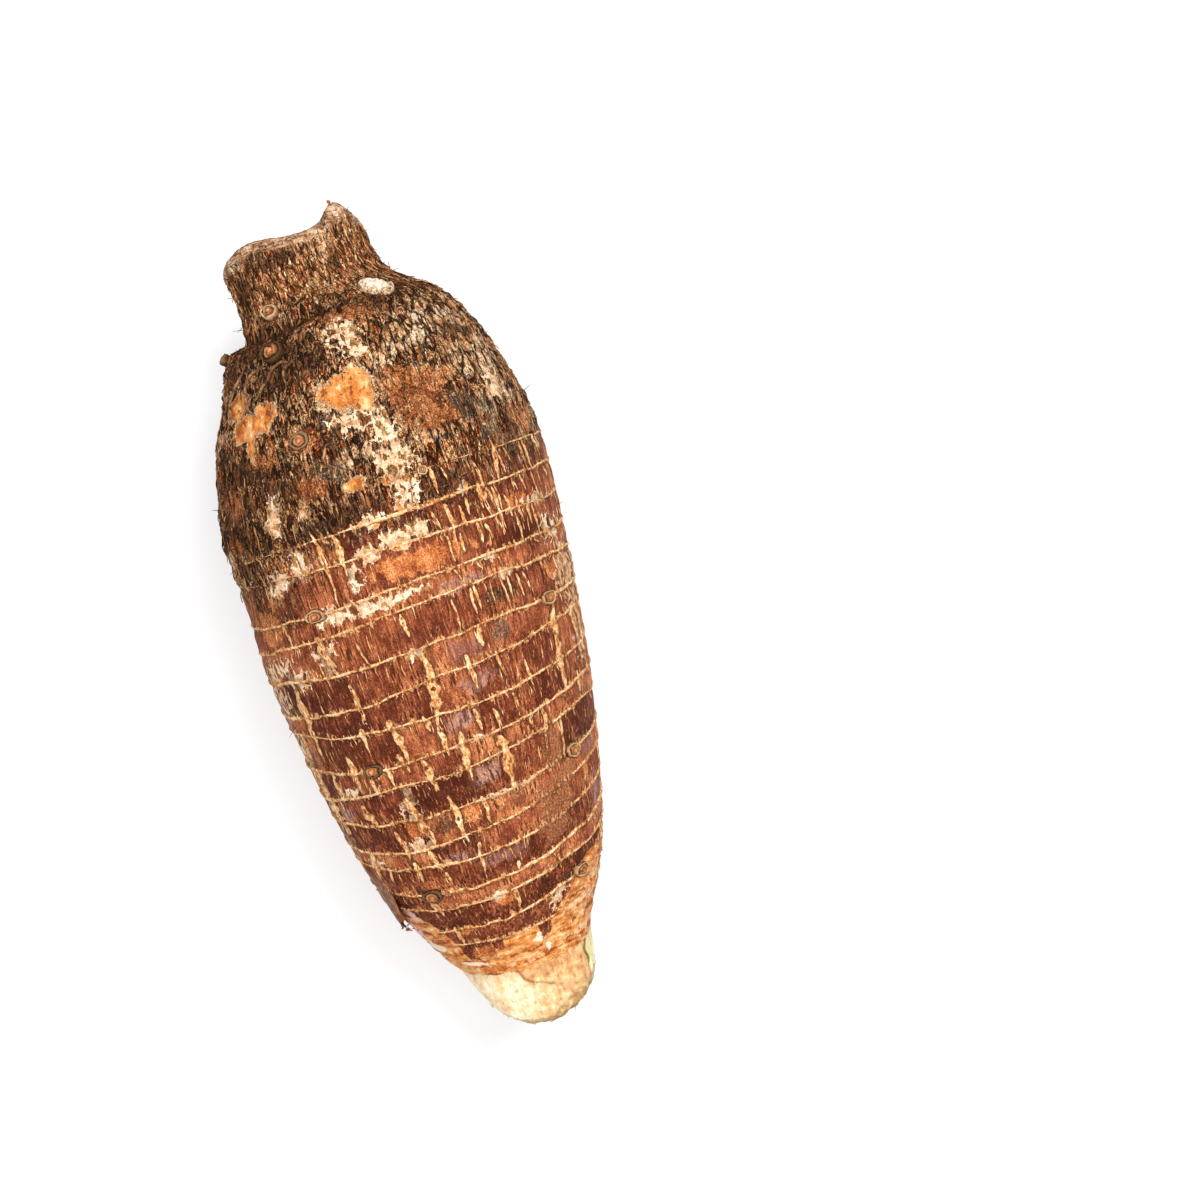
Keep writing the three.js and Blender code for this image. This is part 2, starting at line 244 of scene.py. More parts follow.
cork = np.zeros_like(angle)
for start, end, upper, lower, width in SEAMS:
    t = (level - upper) / (lower - upper)
    here = (t > -0.15) & (t < 1.15)
    away = (degrees[here] - (start + (end - start) * t[here]) + 180) % 360 - 180
    away = np.abs(np.radians(away)) * np.maximum(half_width(y[here]), 1)
    overrun = np.maximum(np.abs(t[here] - 0.5) - 0.5, 0) * abs(lower - upper)
    cork[here] = np.maximum(cork[here], 1.5 - np.hypot(away, overrun) / (2 * width + 0.6))

# Patches of other skin: angle and level of the middle, half size in degrees and in mm.
PATCHES = {
    # White cork showing as a net between flakes of bark.
    "cream": [
        (1, 88.5, 8, 4.5), (8, 83, 6, 2.5), (-3, 62, 8, 3), (7, 57, 5, 6),
        (9, 49, 6, 8), (9, 40, 4, 5), (9, 34, 4, 4), (-4, 31, 6, 2.5),
        (5, 24, 8, 3), (-9, 22, 5, 2.5), (11, 22.5, 4, 1.5), (-16, 17, 3, 4), (29, 33, 2, 2.5),
        (-27, 41, 2, 3), (-38, 41, 3.4, 5), (-33, 26, 4, 5), (-47, 21, 5, 3.4), (-66, 24, 7, 2), (-17, 8.5, 10, 2.2),
        (-4, 7, 12, 1.8), (-26, 9, 6, 2.4), (73, -5, 9, 9), (64, 12, 8, 5), (76, -24, 6, 14), (60, 23, 10, 2),
        (-72, -10, 9, 9), (-60, -4, 8, 4), (-75, -36, 7, 9), (-70, -55, 6, 9), (-47, -47, 10, 1.6),
        (-26, -56, 6, 3), (-22, -52, 3, 4), (-27, -66, 7, 1.4), (-57, -73, 6, 3), (58, 62, 5, 6), (-3, -10.5, 4, 1.6),
        (37, 2.5, 2.5, 1.6), (32, 9, 2.5, 1.8), (-33, -4, 4, 6), (-50, -8, 6, 3), (1, -88.7, 4, 1.2),
        (10, -41, 5, 0.9), (20, -59, 20, 0.8), (36, -98, 5, 2), (46, -99, 3, 1.5),
        (160, 30, 9, 6), (-140, 50, 10, 8), (130, 72, 12, 6), (120, 10, 9, 5), (-110, -20, 8, 9), (105, -45, 7, 10),
        (170, -30, 9, 6), (-150, -5, 9, 5), (140, -70, 8, 5), (-125, -60, 7, 8), (100, 40, 9, 5), (-100, 25, 9, 6),
    ],
    # Dry pale bark.
    "pale": [
        (-2, 90, 8, 5), (42, 85, 14, 6), (58, 84, 14, 7), (78, 88, 14, 8), (68, 66, 9, 12), (72, 50, 10, 8),
        (58, 73, 11, 9), (28, 83, 10, 5), (17, 78, 6, 3), (-68, 84, 9, 3), (-64, 69, 6, 2), (-78, 70, 8, 5),
        (-4, 52, 8, 3), (70, 90, 16, 6), (50, 57, 6, 4), (30, 121, 8, 3), (-74, 34, 8, 4),
        (62, 36, 12, 4), (22, 50, 8, 2), (30, 117, 9, 3), (-50, 121, 14, 3), (46, 71, 7, 7),
        (115, 80, 20, 8), (150, 92, 16, 5), (-130, 84, 16, 6), (-160, 62, 14, 8), (175, 78, 14, 6), (110, 52, 12, 6),
    ],
    # Fresh flesh where bark has just come off.
    "peeled": [
        (0, 71.5, 10, 6.5), (-57, 78, 9, 4.3), (-47, 70, 7, 4.6), (-37, 71, 5, 4.2), (-44, 63, 3, 3.4),
        (-84, 76, 7, 6), (-6, 44, 4.5, 2), (6, 42, 4, 2), (-2, 30.5, 3, 1.6), (7, 33, 2.6, 2), (-33, 25.5, 4, 4),
        (-7, 21.6, 3, 1.8), (5, 22, 3.4, 1.4), (-38, 41, 2.4, 3.5), (150, 68, 9, 5), (-128, 40, 8, 4), (108, 66, 6, 4),
    ],
    # Orange-brown inner bark.
    "orange": [
        (25, 63, 14, 8), (30, 56, 10, 5), (20, 70, 6, 4), (-22, 61, 6, 4), (6, 15.5, 25, 3.6), (-50, 17, 5, 3.6),
        (1, -61.5, 8, 2.8), (-28, -62, 6, 3), (8, -90, 8, 2.5), (-66, 36, 8, 4), (50, 24, 12, 3), (-58, 10, 14, 4),
        (-9, -40.5, 7, 1.3), (-30, -97, 9, 2), (64, 0, 7, 3), (-58, 48, 10, 5), (-24, 46, 8, 4), (-76, 57, 8, 6),
        (-40, 60, 6, 4), (4, 95, 20, 2.5), (-26, -105, 12, 2), (70, 50, 10, 6),
        (160, 10, 18, 4), (-115, -40, 12, 4), (120, -20, 12, 4), (-165, -55, 14, 4), (115, -84, 12, 5),
    ],
    # Browner, older bark.
    "old": [(-62, 58, 40, 40), (-30, 92, 40, 9), (-50, 16, 26, 12), (-120, 60, 50, 40), (160, 88, 60, 20),
            (20, 96, 50, 5), (-8, 38, 66, 10), (45, 34, 28, 10), (50, 12, 20, 5),
            (46, 27, 16, 6), (-36, -76, 14, 8), (-38, -48, 8, 4), (-32, 5, 8, 5)],
    "dark": [
        (-50, 92, 24, 4.5), (-28, 87.5, 10, 4.5), (-62, 87, 10, 3), (-68, 58, 14, 8), (-48, 54, 16, 8),
        (-28, 82, 14, 5.5), (-12, 83, 8, 4),
        (-30, 50, 7, 5), (54, 79.5, 8, 2.2), (-9, 58, 5, 4), (40, 60, 6, 6), (60, 80, 6, 2), (20, 96.5, 40, 2.5),
        (-62, 40, 16, 9),
        (34, -3, 7.5, 2.8), (48, 17, 4, 1.4), (58, 39, 7, 4), (-16, 35, 20, 2.6), (-9, -62, 8, 3), (42, -95.6, 4, 2),
        (-34, -84, 6, 2.4), (-60, 28, 10, 4), (-20, 45, 7, 3), (22, 35, 14, 4), (50, 96, 12, 2),
        (-12, 118.2, 22, 2), (35, 123.4, 4, 2),
        (58, 47, 6, 3), (-24, 118, 16, 3), (28, 112, 9, 3), (-55, 112, 12, 4), (-34, -112, 6, 0.9),
        (140, 50, 25, 10), (-150, 76, 18, 8), (180, -20, 10, 4), (-110, -2, 9, 3), (130, 96, 20, 3), (-105, 66, 14, 8),
        (175, 104, 24, 4), (-95, 44, 14, 8), (95, 28, 12, 5),
    ],
    "grey": [
        (41, 59, 6, 7), (48, 55, 5, 5), (46, 47, 5, 3), (-10, 63, 6, 4), (-14, 50, 8, 4), (33, -13, 5, 4), (57, 42, 6, 4),
        (-150, 40, 12, 8), (125, 62, 14, 6), (-172, 90, 18, 5),
    ],
    # Bark rubbed to a dull scurf with no rings left.
    "scurf": [(40, -73, 12, 12), (44, -55, 6, 7), (48, -64, 8, 6), (-120, -78, 12, 8), (160, 46, 10, 6)],
    # Pinkish grey patches, partly thin young skin and partly a painted sheen.
    "lilac": [
        (15, -14, 12, 4), (18, -24, 9, 3), (12, -52, 8, 3.6), (-58, -54, 8, 4), (76, -80, 12, 9), (-76, -84, 9, 6),
        (12, -78, 15, 3), (-76, -66, 10, 8), (20, 5, 12, 3), (-80, -20, 9, 10), (-66, -36, 6, 4), (70, -62, 8, 5),
        (8, -34, 8, 3), (-10, -74, 10, 3), (130, -50, 20, 6), (-140, -30, 20, 6), (170, -80, 20, 8), (-100, -90, 14, 5),
    ],
    "pink": [(-60, -91, 6, 3.4), (-76, -98, 14, 4), (-88, -104, 14, 3), (-64, -84, 4, 3)],
    "white": [(17, -105.7, 3, 1.6), (22, -109.8, 3, 1.6), (2, -88.6, 3.4, 1),
              (-70, -104, 12, 1.6), (-45, -109, 14, 0.8)],
}
place = skin_point(angle, y)
shift_across = 4.5 * noise(place * 0.13, 31, 2)
shift_along = 1.6 * noise(place * 0.16, 32, 2)
fields = {}
for kind, patches in PATCHES.items():
    field = np.full_like(angle, -1.0)
    for middle_angle, middle_level, half_angle, half_length in patches:
        away = (degrees - middle_angle + shift_across * min(half_angle / 6, 1) + 180) % 360 - 180
        past = level - middle_level + shift_along * min(half_length / 4, 1)
        field = np.maximum(field, 1 - np.hypot(away / half_angle, past / half_length))
    fields[kind] = field

# Zones: 1 on the corky shoulder and neck, and 1 on the peeled collar round the leaf stalks.
COLLAR_EDGE = np.array([ (-180, -96), (-120, -99), (-88, -91), (-62, -88.5), (-50, -93.5), (-44, -100),
                           (-42, -106.5), (-18, -106.5), (-16, -105), (-9, -105), (-7, -101.8), (8, -101.5),
                           (19, -102), (20, -106.2), (28, -106), (30, -102.5), (44, -98.5), (56, -94),
                           (80, -92), (110, -99), (150, -94), (180, -96), ])
shoulder_edge = 34 - 17 * smooth(-degrees, 10, 55) * smooth(degrees, -170, -80) + 6 * smooth(degrees, 20, 60)
shoulder = np.clip((level - shoulder_edge) / 18, -1, 1)
collar = np.clip((np.interp(degrees, COLLAR_EDGE[:, 0], COLLAR_EDGE[:, 1]) - level) / 5, -1, 1)

# The seams cut each plate into blocks, and each block has weathered to a tone of its own.
block = np.zeros_like(angle)
weathering = np.random.default_rng(21)
for number in range(last_scar):
    middle = (SCARS[number, 1] + SCARS[number + 1, 1]) / 2
    cuts = [start + (end - start) * (middle - upper) / (lower - upper)
            for start, end, upper, lower, width in SEAMS if lower < middle < upper and width > 0.45]
    cuts = np.sort((np.array(cuts) + 180) % 360 - 180)
    tones = weathering.uniform(-1, 1, len(cuts) + 1)
    tones[-1] = tones[0]
    rows = np.floor(ring_number + 1e-6) == number
    block[rows] = tones[np.searchsorted(cuts, degrees[rows])]

# Relief along the normals.
ridge = 0.34 * np.exp(-(scar_gap / 0.6) ** 2) - 0.3 * np.exp(-((scar_gap - 1.5) / 0.7) ** 2)
swell = 0.25 * np.sin(math.pi * np.clip(ring_number - np.floor(ring_number), 0, 1))
fibres = noise(skin * (0.7, 0.12, 0.7), 5, 2)
rough = noise(skin * (0.9, 0.6, 0.9), 6, 2)
bark_amount = smooth(shoulder, -0.3, 0.5)
relief = strength * ridge + swell * in_rings + 0.35 * noise(skin * 0.06, 7, 2) * np.abs(np.cos(angle))
relief += 0.08 * rough + 0.1 * block * in_rings
relief -= 0.4 * smooth(fields["peeled"] + 0.25 * rough, -0.05, 0.12)
relief -= 0.25 * smooth(fields["orange"] + 0.25 * rough, -0.05, 0.2) * bark_amount
relief += 0.12 * smooth(fields["cream"] + 0.3 * rough, -0.05, 0.15)
layer_edge = (level + 1.3 * noise(place * (0.12, 0.3, 0.12), 8, 3)) / 2.7
relief += smooth(collar, -0.1, 0.25) * (0.5 * (1 - layer_edge % 1) - 0.3) * smooth(last_scar - ring_number,
                 -0.1, 0.3)
on_face = np.zeros_like(angle)
on_face[face_rows] = (1 - face_scale ** 6)[:, None]
relief = np.where(on_face > 0, 0.75 * noise(skin * (0.35, 0.35, 0.35), 9, 3) * on_face, relief)
# Rolled edge of the broken neck, widest below its horn.
rim_band = rim_gap - 3.2 * np.exp(-((degrees - 50) / 17) ** 2)
ledge = smooth(4 + 0.9 * noise(skin * (0.3, 0.3, 0.3), 10, 2) - rim_band, -0.4, 0.6)
relief += (0.6 * ledge - 0.7 * np.exp(-(rim_gap / 0.7) ** 2)) * (on_face < 0.5)
relief += bark_amount * (0.34 * fibres + 0.34 * rough) * (1 - 0.8 * ledge) * (on_face < 0.5)
# Fold where the shoulder has grown up round the neck.
fold_away = y - 99.5 - 2.5 * np.sin(angle * 2)
fold = np.exp(-(fold_away / 2.2) ** 2) * smooth(-degrees, -20, 30) * smooth(degrees, -150, -95)
relief -= 2.8 * fold
relief[lip_rows] = 0
skin += normals_of(skin) * relief[..., None]
skin[..., 2] = np.maximum(skin[..., 2], 0)
skin_normals = normals_of(skin)


def grid_piece(name, points, values):
    """Closed skin through a grid of points. Its first and last rows are single points."""
    rows, columns = points.shape[0], points.shape[1] - 1
    bpy.ops.object.select_all(action="DESELECT")
    bpy.ops.mesh.primitive_grid_add(x_subdivisions=columns, y_subdivisions=rows - 1, size=2)
    piece = bpy.context.object
    piece.name = piece.data.name = name
    mesh = piece.data
    flat = np.empty(len(mesh.vertices) * 3)
    mesh.vertices.foreach_get("co", flat)
    flat = flat.reshape(-1, 3)
    column = np.rint((flat[:, 0] + 1) / 2 * columns).astype(int)
    row = np.rint((1 - flat[:, 1]) / 2 * (rows - 1)).astype(int)
    mesh.vertices.foreach_set("co", (points[row, column] * MM).ravel())
    for label, value in values.items():
        layer = mesh.attributes.new(label, "FLOAT", "POINT")
        layer.data.foreach_set("value", value[row, column].astype(np.float32))
    mesh.uv_layers[0].name = "OFBake"
    bpy.ops.object.mode_set(mode="EDIT")
    bpy.ops.mesh.select_all(action="SELECT")
    bpy.ops.mesh.remove_doubles(threshold=1e-7)
    bpy.ops.mesh.delete_loose()
    bpy.ops.mesh.dissolve_degenerate(threshold=1e-8)
    bpy.ops.mesh.select_all(action="SELECT")
    bpy.ops.mesh.normals_make_consistent(inside=False)
    bpy.ops.object.mode_set(mode="OBJECT")
    bpy.ops.object.shade_smooth()
    return piece


class Recipe:
    """Adds nodes to one material and hands back their output sockets. A value may be a socket, a
    number, a colour or the name of an attribute of the mesh."""

    def __init__(self, name):
        self.material = bpy.data.materials.new(name)
        self.material.use_nodes = True
        self.tree = self.material.node_tree
        self.shader = self.tree.nodes["Principled BSDF"]
        self.place = self.add("ShaderNodeTexCoord").outputs["Object"]

    def add(self, kind, **settings):
        node = self.tree.nodes.new(kind)
        for key, value in settings.items():
            setattr(node, key, value)
        return node

    def plug(self, socket, value):
        if isinstance(value, str):
            value = self.add("ShaderNodeAttribute", attribute_name=value).outputs["Fac"]
        if isinstance(value, bpy.types.NodeSocket):
            self.tree.links.new(value, socket)
        elif isinstance(value, tuple) and len(value) == 3 and len(socket.default_value) == 4:
            socket.default_value = (*value, 1)
        else:
            socket.default_value = value

    def set(self, **values):
        for name, value in values.items():
            self.plug(self.shader.inputs[name.replace("_", " ")], value)

    def sum(self, operation, *values):
        node = self.add("ShaderNodeMath", operation=operation)
        for socket, value in zip(node.inputs, values):
            self.plug(socket, value)
        return node.outputs[0]

    def times(self, first, second):
        return self.sum("MULTIPLY", first, second)

    def scaled(self, scale):
        mapping = self.add("ShaderNodeMapping")
        self.plug(mapping.inputs["Vector"], self.place)
        mapping.inputs["Scale"].default_value = scale
        return mapping.outputs[0]

    def noise(self, scale, detail=3, roughness=0.55, distortion=0):
        """Noise with scale cells per metre along x, y and z."""
        node = self.add("ShaderNodeTexNoise")
        self.plug(node.inputs["Vector"], self.scaled(scale))
        for name, value in (("Scale", 1), ("Detail", detail), ("Roughness", roughness), ("Distortion", distortion)):
            node.inputs[name].default_value = value
        return node.outputs["Fac"]

    def flakes(self, scale, wander):
        """Distance from the edges of ragged flakes, scale of them per metre, and a tone for each flake."""
        cells = self.scaled(scale)
        cloud = self.add("ShaderNodeTexNoise")
        self.plug(cloud.inputs["Vector"], cells)
        for name, value in (("Scale", 2.2), ("Detail", 3), ("Roughness", 0.6)):
            cloud.inputs[name].default_value = value
        shift = self.add("ShaderNodeVectorMath", operation="MULTIPLY_ADD")
        for socket, value in zip(shift.inputs, (cloud.outputs["Color"], (wander,) * 3, cells)):
            self.plug(socket, value)
        outputs = []
        for feature, output in (("DISTANCE_TO_EDGE", "Distance"), ("F1", "Color")):
            node = self.add("ShaderNodeTexVoronoi", feature=feature)
            self.plug(node.inputs["Vector"], shift.outputs[0])
            node.inputs["Scale"].default_value = 1
            outputs.append(node.outputs[output])
        return outputs

    def line(self, value, around, width, amount=1):
        """Mask of the contour of a value at one height."""
        gap = self.sum("ABSOLUTE", self.sum("SUBTRACT", value, around))
        return self.step(gap, width * 0.4, width, amount, 0)

    def lean(self, value, *pairs):
        """The value, moved by noises around a half, each scaled: pairs of noise and amount."""
        for around, amount in pairs:
            value = self.sum("MULTIPLY_ADD", self.sum("SUBTRACT", around, 0.5), amount, value)
        return value

    def step(self, value, low, high, first=0, last=1):
        node = self.add("ShaderNodeMapRange", interpolation_type="SMOOTHSTEP")
        for socket, entry in zip(node.inputs, (value, low, high, first, last)):
            self.plug(socket, entry)
        return node.outputs[0]

    def ramp(self, value, *stops):
        """Colour ramp from stops: place, red, green and blue as they look on a screen."""
        node = self.add("ShaderNodeValToRGB")
        self.plug(node.inputs[0], value)
        elements = node.color_ramp.elements
        for stop in stops[1:-1]:
            elements.new(stop[0])
        for element, (at, *screen) in zip(elements, stops):
            element.position = at
            element.color = (*paint(*screen), 1)
        return node.outputs[0]

    def mix(self, amount, first, second, blend="MIX"):
        node = self.add("ShaderNodeMix", data_type="RGBA", blend_type=blend)
        for socket, value in zip((node.inputs[0], node.inputs[6], node.inputs[7]), (amount, first, second)):
            self.plug(socket, value)
        return node.outputs[2]

    def bump(self, height, distance, strength=1):
        node = self.add("ShaderNodeBump")
        self.plug(node.inputs["Height"], height)
        node.inputs["Distance"].default_value = distance
        node.inputs["Strength"].default_value = strength
        return node.outputs[0]


def paint(red, green, blue):
    """Colour given as it looks on a screen, from 0 to 255."""
    return tuple((c / 255 / 12.92) if c < 10.3 else ((c / 255 + 0.055) / 1.055) ** 2.4 for c in (red, green, blue))


corm_skin = grid_piece("corm_skin", skin, {
    "scar_gap": np.abs(scar_gap), "block": block, "cork": cork, "shoulder": shoulder, "collar": collar,
    "rim_gap": rim_gap, "rim_band": rim_band, "broken": on_face, "fold": fold, "level": level, **fields,
})
bark = Recipe("taro_bark")
shade = bark.noise((75, 45, 75), 4)
tone = bark.noise((240, 150, 240), 4, 0.6)
blot = bark.noise((560, 420, 560), 5, 0.72)
fleck = bark.noise((1000, 330, 1000), 4, 0.65)
grain = bark.noise((1600, 90, 1600), 2, 0.5, 0.3)
crumb = bark.noise((1900, 1500, 1900), 3, 0.7)
grit = bark.noise((2500, 1900, 2500), 2, 0.6)
fibre = bark.noise((1500, 380, 1500), 3, 0.66, 0.5)
curl = bark.noise((520, 340, 520), 3, 0.6, 1.6)
crack = bark.noise((400, 60, 400), 3, 0.5, 0.3)
net, island = bark.flakes((300, 230, 300), 0.8)
fissure, slab = bark.flakes((330, 80, 330), 0.35)
seamlet, scrap = bark.flakes((1000, 400, 1000), 1.0)


def patch(name, around, amount, low=0.0, high=0.08):
    """Mask of one kind of patch with its edge broken up by two noises."""
    return bark.step(bark.lean(name, (tone, 1.3), (around, amount)), low, high)


# Brown plates, each block of its own tone, with a fine dark lengthwise grain.
plate_value = bark.lean(bark.sum("MULTIPLY_ADD", "block", 0.16, 0.482), (shade, 0.7))
plate_value = bark.lean(plate_value, (tone, 0.7), (crumb, 0.4))
aged = bark.step(bark.lean("old", (blot, 1)), -0.3, 0.6)
plate_value = bark.sum("MULTIPLY_ADD", aged, -0.15, plate_value)
colour = bark.ramp(plate_value, (0.22, 76, 32, 19), (0.37, 112, 52, 32), (0.5, 150, 79, 49),
                       (0.63, 188, 110, 68), (0.8, 226, 156, 102))
# Painted sheen: the lilac patches mix a pinkish grey gloss into the plates' colour, over thin young skin.
young_skin_and_sheen_mask = patch("lilac", blot, 1.2, -0.1, 0.6)
young = bark.mix(bark.step(shade, 0.38, 0.62), paint(142, 90, 76), paint(196, 150, 130))
colour = bark.mix(bark.times(young_skin_and_sheen_mask, 0.74), colour, young)
lined = bark.times(bark.step(grain, 0.38, 0.5, 0.9, 0), bark.step(bark.lean(shade, (tone, 0.8)), 0.4, 0.6, 0.3,
                       1))
colour = bark.mix(lined, colour, paint(60, 26, 15))
colour = bark.mix(bark.step(grain, 0.58, 0.68, 0, 0.35), colour, paint(222, 154, 104))
inner = bark.ramp(bark.lean(tone, (crumb, 0.9)), (0.26, 110, 56, 30), (0.42, 164, 88, 46), (0.56, 200, 118, 66),
                  (0.74, 232, 164, 108))
colour = bark.mix(patch("orange", blot, 1.7, 0, 0.2), colour, inner)
scurf = bark.ramp(bark.lean(crumb, (grit, 0.6)), (0.34, 108, 60, 37), (0.5, 148, 90, 58), (0.66, 188, 128, 86))
colour = bark.mix(bark.times(patch("scurf", blot, 1.6, 0, 0.3), 0.75), colour, scurf)

# Old bark of the shoulder and neck: small scraps of every tone with dark gaps, straight on the neck
# and curled below it, and on the shoulder cracked into long slabs.
on_neck = bark.step("rim_gap", 16, 24, 1, 0)
splintered = bark.lean(0.54, (scrap, 0.6), (fibre, 1.1))
crusted = bark.lean(0.57, (scrap, 0.36), (slab, 0.36), (blot, 0.8))
old_value = bark.lean(bark.step(on_neck, 0, 1, crusted, splintered), (crumb, 0.5))
old_value = bark.lean(old_value, (tone, 0.8), (shade, 0.5))
old_value = bark.sum("ADD", old_value, bark.step(bark.lean("pale", (blot, 1)), -0.4, 0.5, 0, 0.19))
old_value = bark.sum("MULTIPLY_ADD", aged, -0.12, old_value)
old_value = bark.sum("SUBTRACT", old_value, bark.step(bark.lean("dark", (blot, 1)), -0.5, 0.4, 0, 0.1))
old = bark.ramp(old_value, (0.25, 48, 24, 10), (0.35, 98, 56, 29), (0.44, 146, 86, 48), (0.53, 194, 119, 67),
                (0.63, 226, 161, 105), (0.76, 250, 216, 174))
warm = bark.step(bark.lean(tone, (shade, 1.5)), 0.42, 0.6, 0, 0.7)
old = bark.mix(warm, old, paint(200, 92, 42), "SOFT_LIGHT")
dry = bark.ramp(bark.lean(tone, (blot, 0.8), (slab, 0.3), (crumb, 0.5)), (0.26, 122, 78, 48),
                    (0.39, 192, 134, 90), (0.53, 232, 182, 132), (0.7, 252, 228, 194))
old = bark.mix(bark.step(bark.lean(seamlet, (blot, 0.15)), 0.03, 0.16, 0.85, 0), old, paint(50, 26, 12))
# Painted highlight and shadow: below the neck a light line beside a dark one along the curl noise stands in for the lit
# and shaded edges of curled bark.
curled = bark.step(on_neck, 0, 1, 0.85, 0.1)
old = bark.mix(bark.times(bark.line(curl, 0.57, 0.035), curled), old, paint(226, 170, 116))
old = bark.mix(bark.times(bark.line(curl, 0.5, 0.035), curled), old, paint(44, 22, 10))
old = bark.mix(bark.step(bark.lean("pale", (blot, 1.4), (fleck, 1)), -0.15, 0.35, 0, 0.88), old, dry)
cracks = bark.step(bark.lean(fissure, (blot, 0.15), (tone, 0.25)), 0.03, 0.1, 1, 0)
cracks = bark.times(cracks, bark.step(on_neck, 0, 1, 0.95, 0))
old = bark.mix(cracks, old, paint(42, 21, 10))
# Painted highlight and shadow: a light and a dark line side by side along the long cracks stand in for their lit and
# shaded edges, in groups.
crack_light_and_shade = bark.step(bark.lean(tone, (blot, 0.5)), 0.42, 0.54, 0.25, 1)
old = bark.mix(bark.times(bark.line(crack, 0.55, 0.04, 0.6), crack_light_and_shade), old, paint(230, 184, 136))
old = bark.mix(bark.times(bark.line(crack, 0.49, 0.05, 0.92), crack_light_and_shade), old, paint(38, 19, 9))
shoulder_mask = bark.step(bark.lean("shoulder", (fleck, 3), (scrap, 1.1)), -0.5, 0.3)
colour = bark.mix(shoulder_mask, colour, old)

burnt = bark.ramp(bark.lean(fibre, (crumb, 0.8)), (0.36, 32, 20, 12), (0.54, 74, 48, 32), (0.68, 146, 104, 70))
scorched = patch("dark", fleck, 2.6, 0, 0.3)
colour = bark.mix(bark.times(scorched, 0.78), colour, burnt)
mould = bark.ramp(bark.lean(crumb, (fibre, 0.6)), (0.36, 52, 42, 36), (0.52, 100, 84, 70),
                      (0.68, 172, 146, 116))
colour = bark.mix(bark.times(patch("grey", blot, 2.4, 0, 0.3), 0.6), colour, mould)
shoulder_orange = bark.times(patch("orange", fleck, 2.4, 0, 0.25), bark.times(shoulder_mask, bark.step(blot,
                                 0.4, 0.56, 0.2, 0.78)))
colour = bark.mix(shoulder_orange, colour, inner)

# Flesh where bark has come off, within a pale outline.
flesh = bark.ramp(bark.lean(tone, (blot, 0.7), (shade, 0.4)), (0.3, 170, 88, 40), (0.46, 208, 126, 60),
                  (0.6, 230, 160, 92), (0.74, 250, 216, 168))
peeled_edge = bark.lean("peeled", (tone, 1.4), (blot, 1.1))
bare = bark.step(peeled_edge, -0.02, 0.06)
colour = bark.mix(bark.step(peeled_edge, -0.16, -0.08), colour, paint(222, 186, 146))
colour = bark.mix(bare, colour, flesh)
creases = bark.sum("MAXIMUM", bark.line(tone, 0.46, 0.012, 0.6), bark.step(bark.noise((420, 300, 420), 3, 0.6),
                       0.6, 0.64, 0, 0.85))
colour = bark.mix(bark.times(creases, bare), colour, paint(122, 64, 30))

# White cork that shows as a net round islands of bark.
cream_value = bark.lean("cream", (fleck, 1.2), (tone, 1.2))
islet = bark.ramp(bark.lean(island, (blot, 0.6)), (0.3, 58, 38, 24), (0.45, 112, 66, 38), (0.56, 160, 104, 54),
                  (0.7, 190, 148, 88))
colour = bark.mix(bark.step(cream_value, -0.1, 0.3, 0, 0.6), colour, islet)
net_width = bark.step(cream_value, -0.4, 0.9, 0.02, 0.24)
cream_gap = bark.sum("SUBTRACT", bark.lean(net_width, (blot, 0.26), (crumb, 0.05)), net)
cream_mask = bark.times(bark.step(cream_gap, 0.0, 0.03), bark.step(cream_value, -0.35, -0.2))
cream = bark.ramp(bark.lean(blot, (crumb, 0.5), (shade, 0.6)), (0.28, 150, 102, 66), (0.4, 206, 160, 120),
                  (0.52, 238, 201, 163), (0.68, 250, 232, 208))
colour = bark.mix(cream_mask, colour, cream)

# Peeled orange-brown layers of the collar, pink in patches low on the left.
layers = bark.noise((110, 520, 110), 4, 0.66, 0.5)
peel = bark.ramp(bark.lean(layers, (blot, 0.7), (tone, 0.5)), (0.24, 132, 62, 28), (0.37, 188, 104, 50),
                 (0.5, 222, 142, 74), (0.62, 240, 180, 114), (0.78, 252, 226, 188))
tier = bark.sum("MULTIPLY_ADD", "level", 1.8, bark.times(bark.sum("ADD", tone, shade), 12))
peel = bark.mix(bark.step(bark.lean(bark.sum("SINE", tier), (shade, 4)), 0.9, 1.3, 0, 0.5), peel,
                paint(252, 222, 184))
peel = bark.mix(bark.step(bark.lean(bark.sum("SINE", tier), (tone, 3)), -1.1, -0.95, 0.75, 0), peel,
                paint(126, 62, 32))
collar_mask = bark.step(bark.lean("collar", (blot, 0.8)), 0.0, 0.12)
colour = bark.mix(collar_mask, colour, peel)
colour = bark.mix(patch("pink", tone, 1.2, 0, 0.4), colour, bark.mix(grain, paint(216, 150, 140),
                      paint(244, 208, 200)))
colour = bark.mix(patch("white", blot, 1.8, 0, 0.15), colour, bark.mix(blot, paint(240, 206, 170),
                      paint(254, 240, 222)))

# Flecks beside the scars, and dark rims along them and round the cork seams; the rims are partly painted shade.
# Painted shade: a darker band along the scars is partly a dark rim and partly the shade at the foot of the scar ridge.
scar_rim_and_shade = bark.step(bark.lean("scar_gap", (tone, 4)), 0.3, 1.9, 0.36, 0)
colour = bark.mix(bark.times(scar_rim_and_shade, bark.step("collar", 0, 0.1, 1, 0)), colour, paint(74, 32, 18))
by_scar = bark.step("scar_gap", 0.2, 2.6, 0.13, 0)
fleck_mask = bark.step(bark.sum("ADD", fleck, by_scar), 0.65, 0.71, 0, 0.85)
fleck_mask = bark.times(fleck_mask, bark.step("collar", 0, 0.1, 1, 0))
colour = bark.mix(fleck_mask, colour, paint(224, 168, 114))
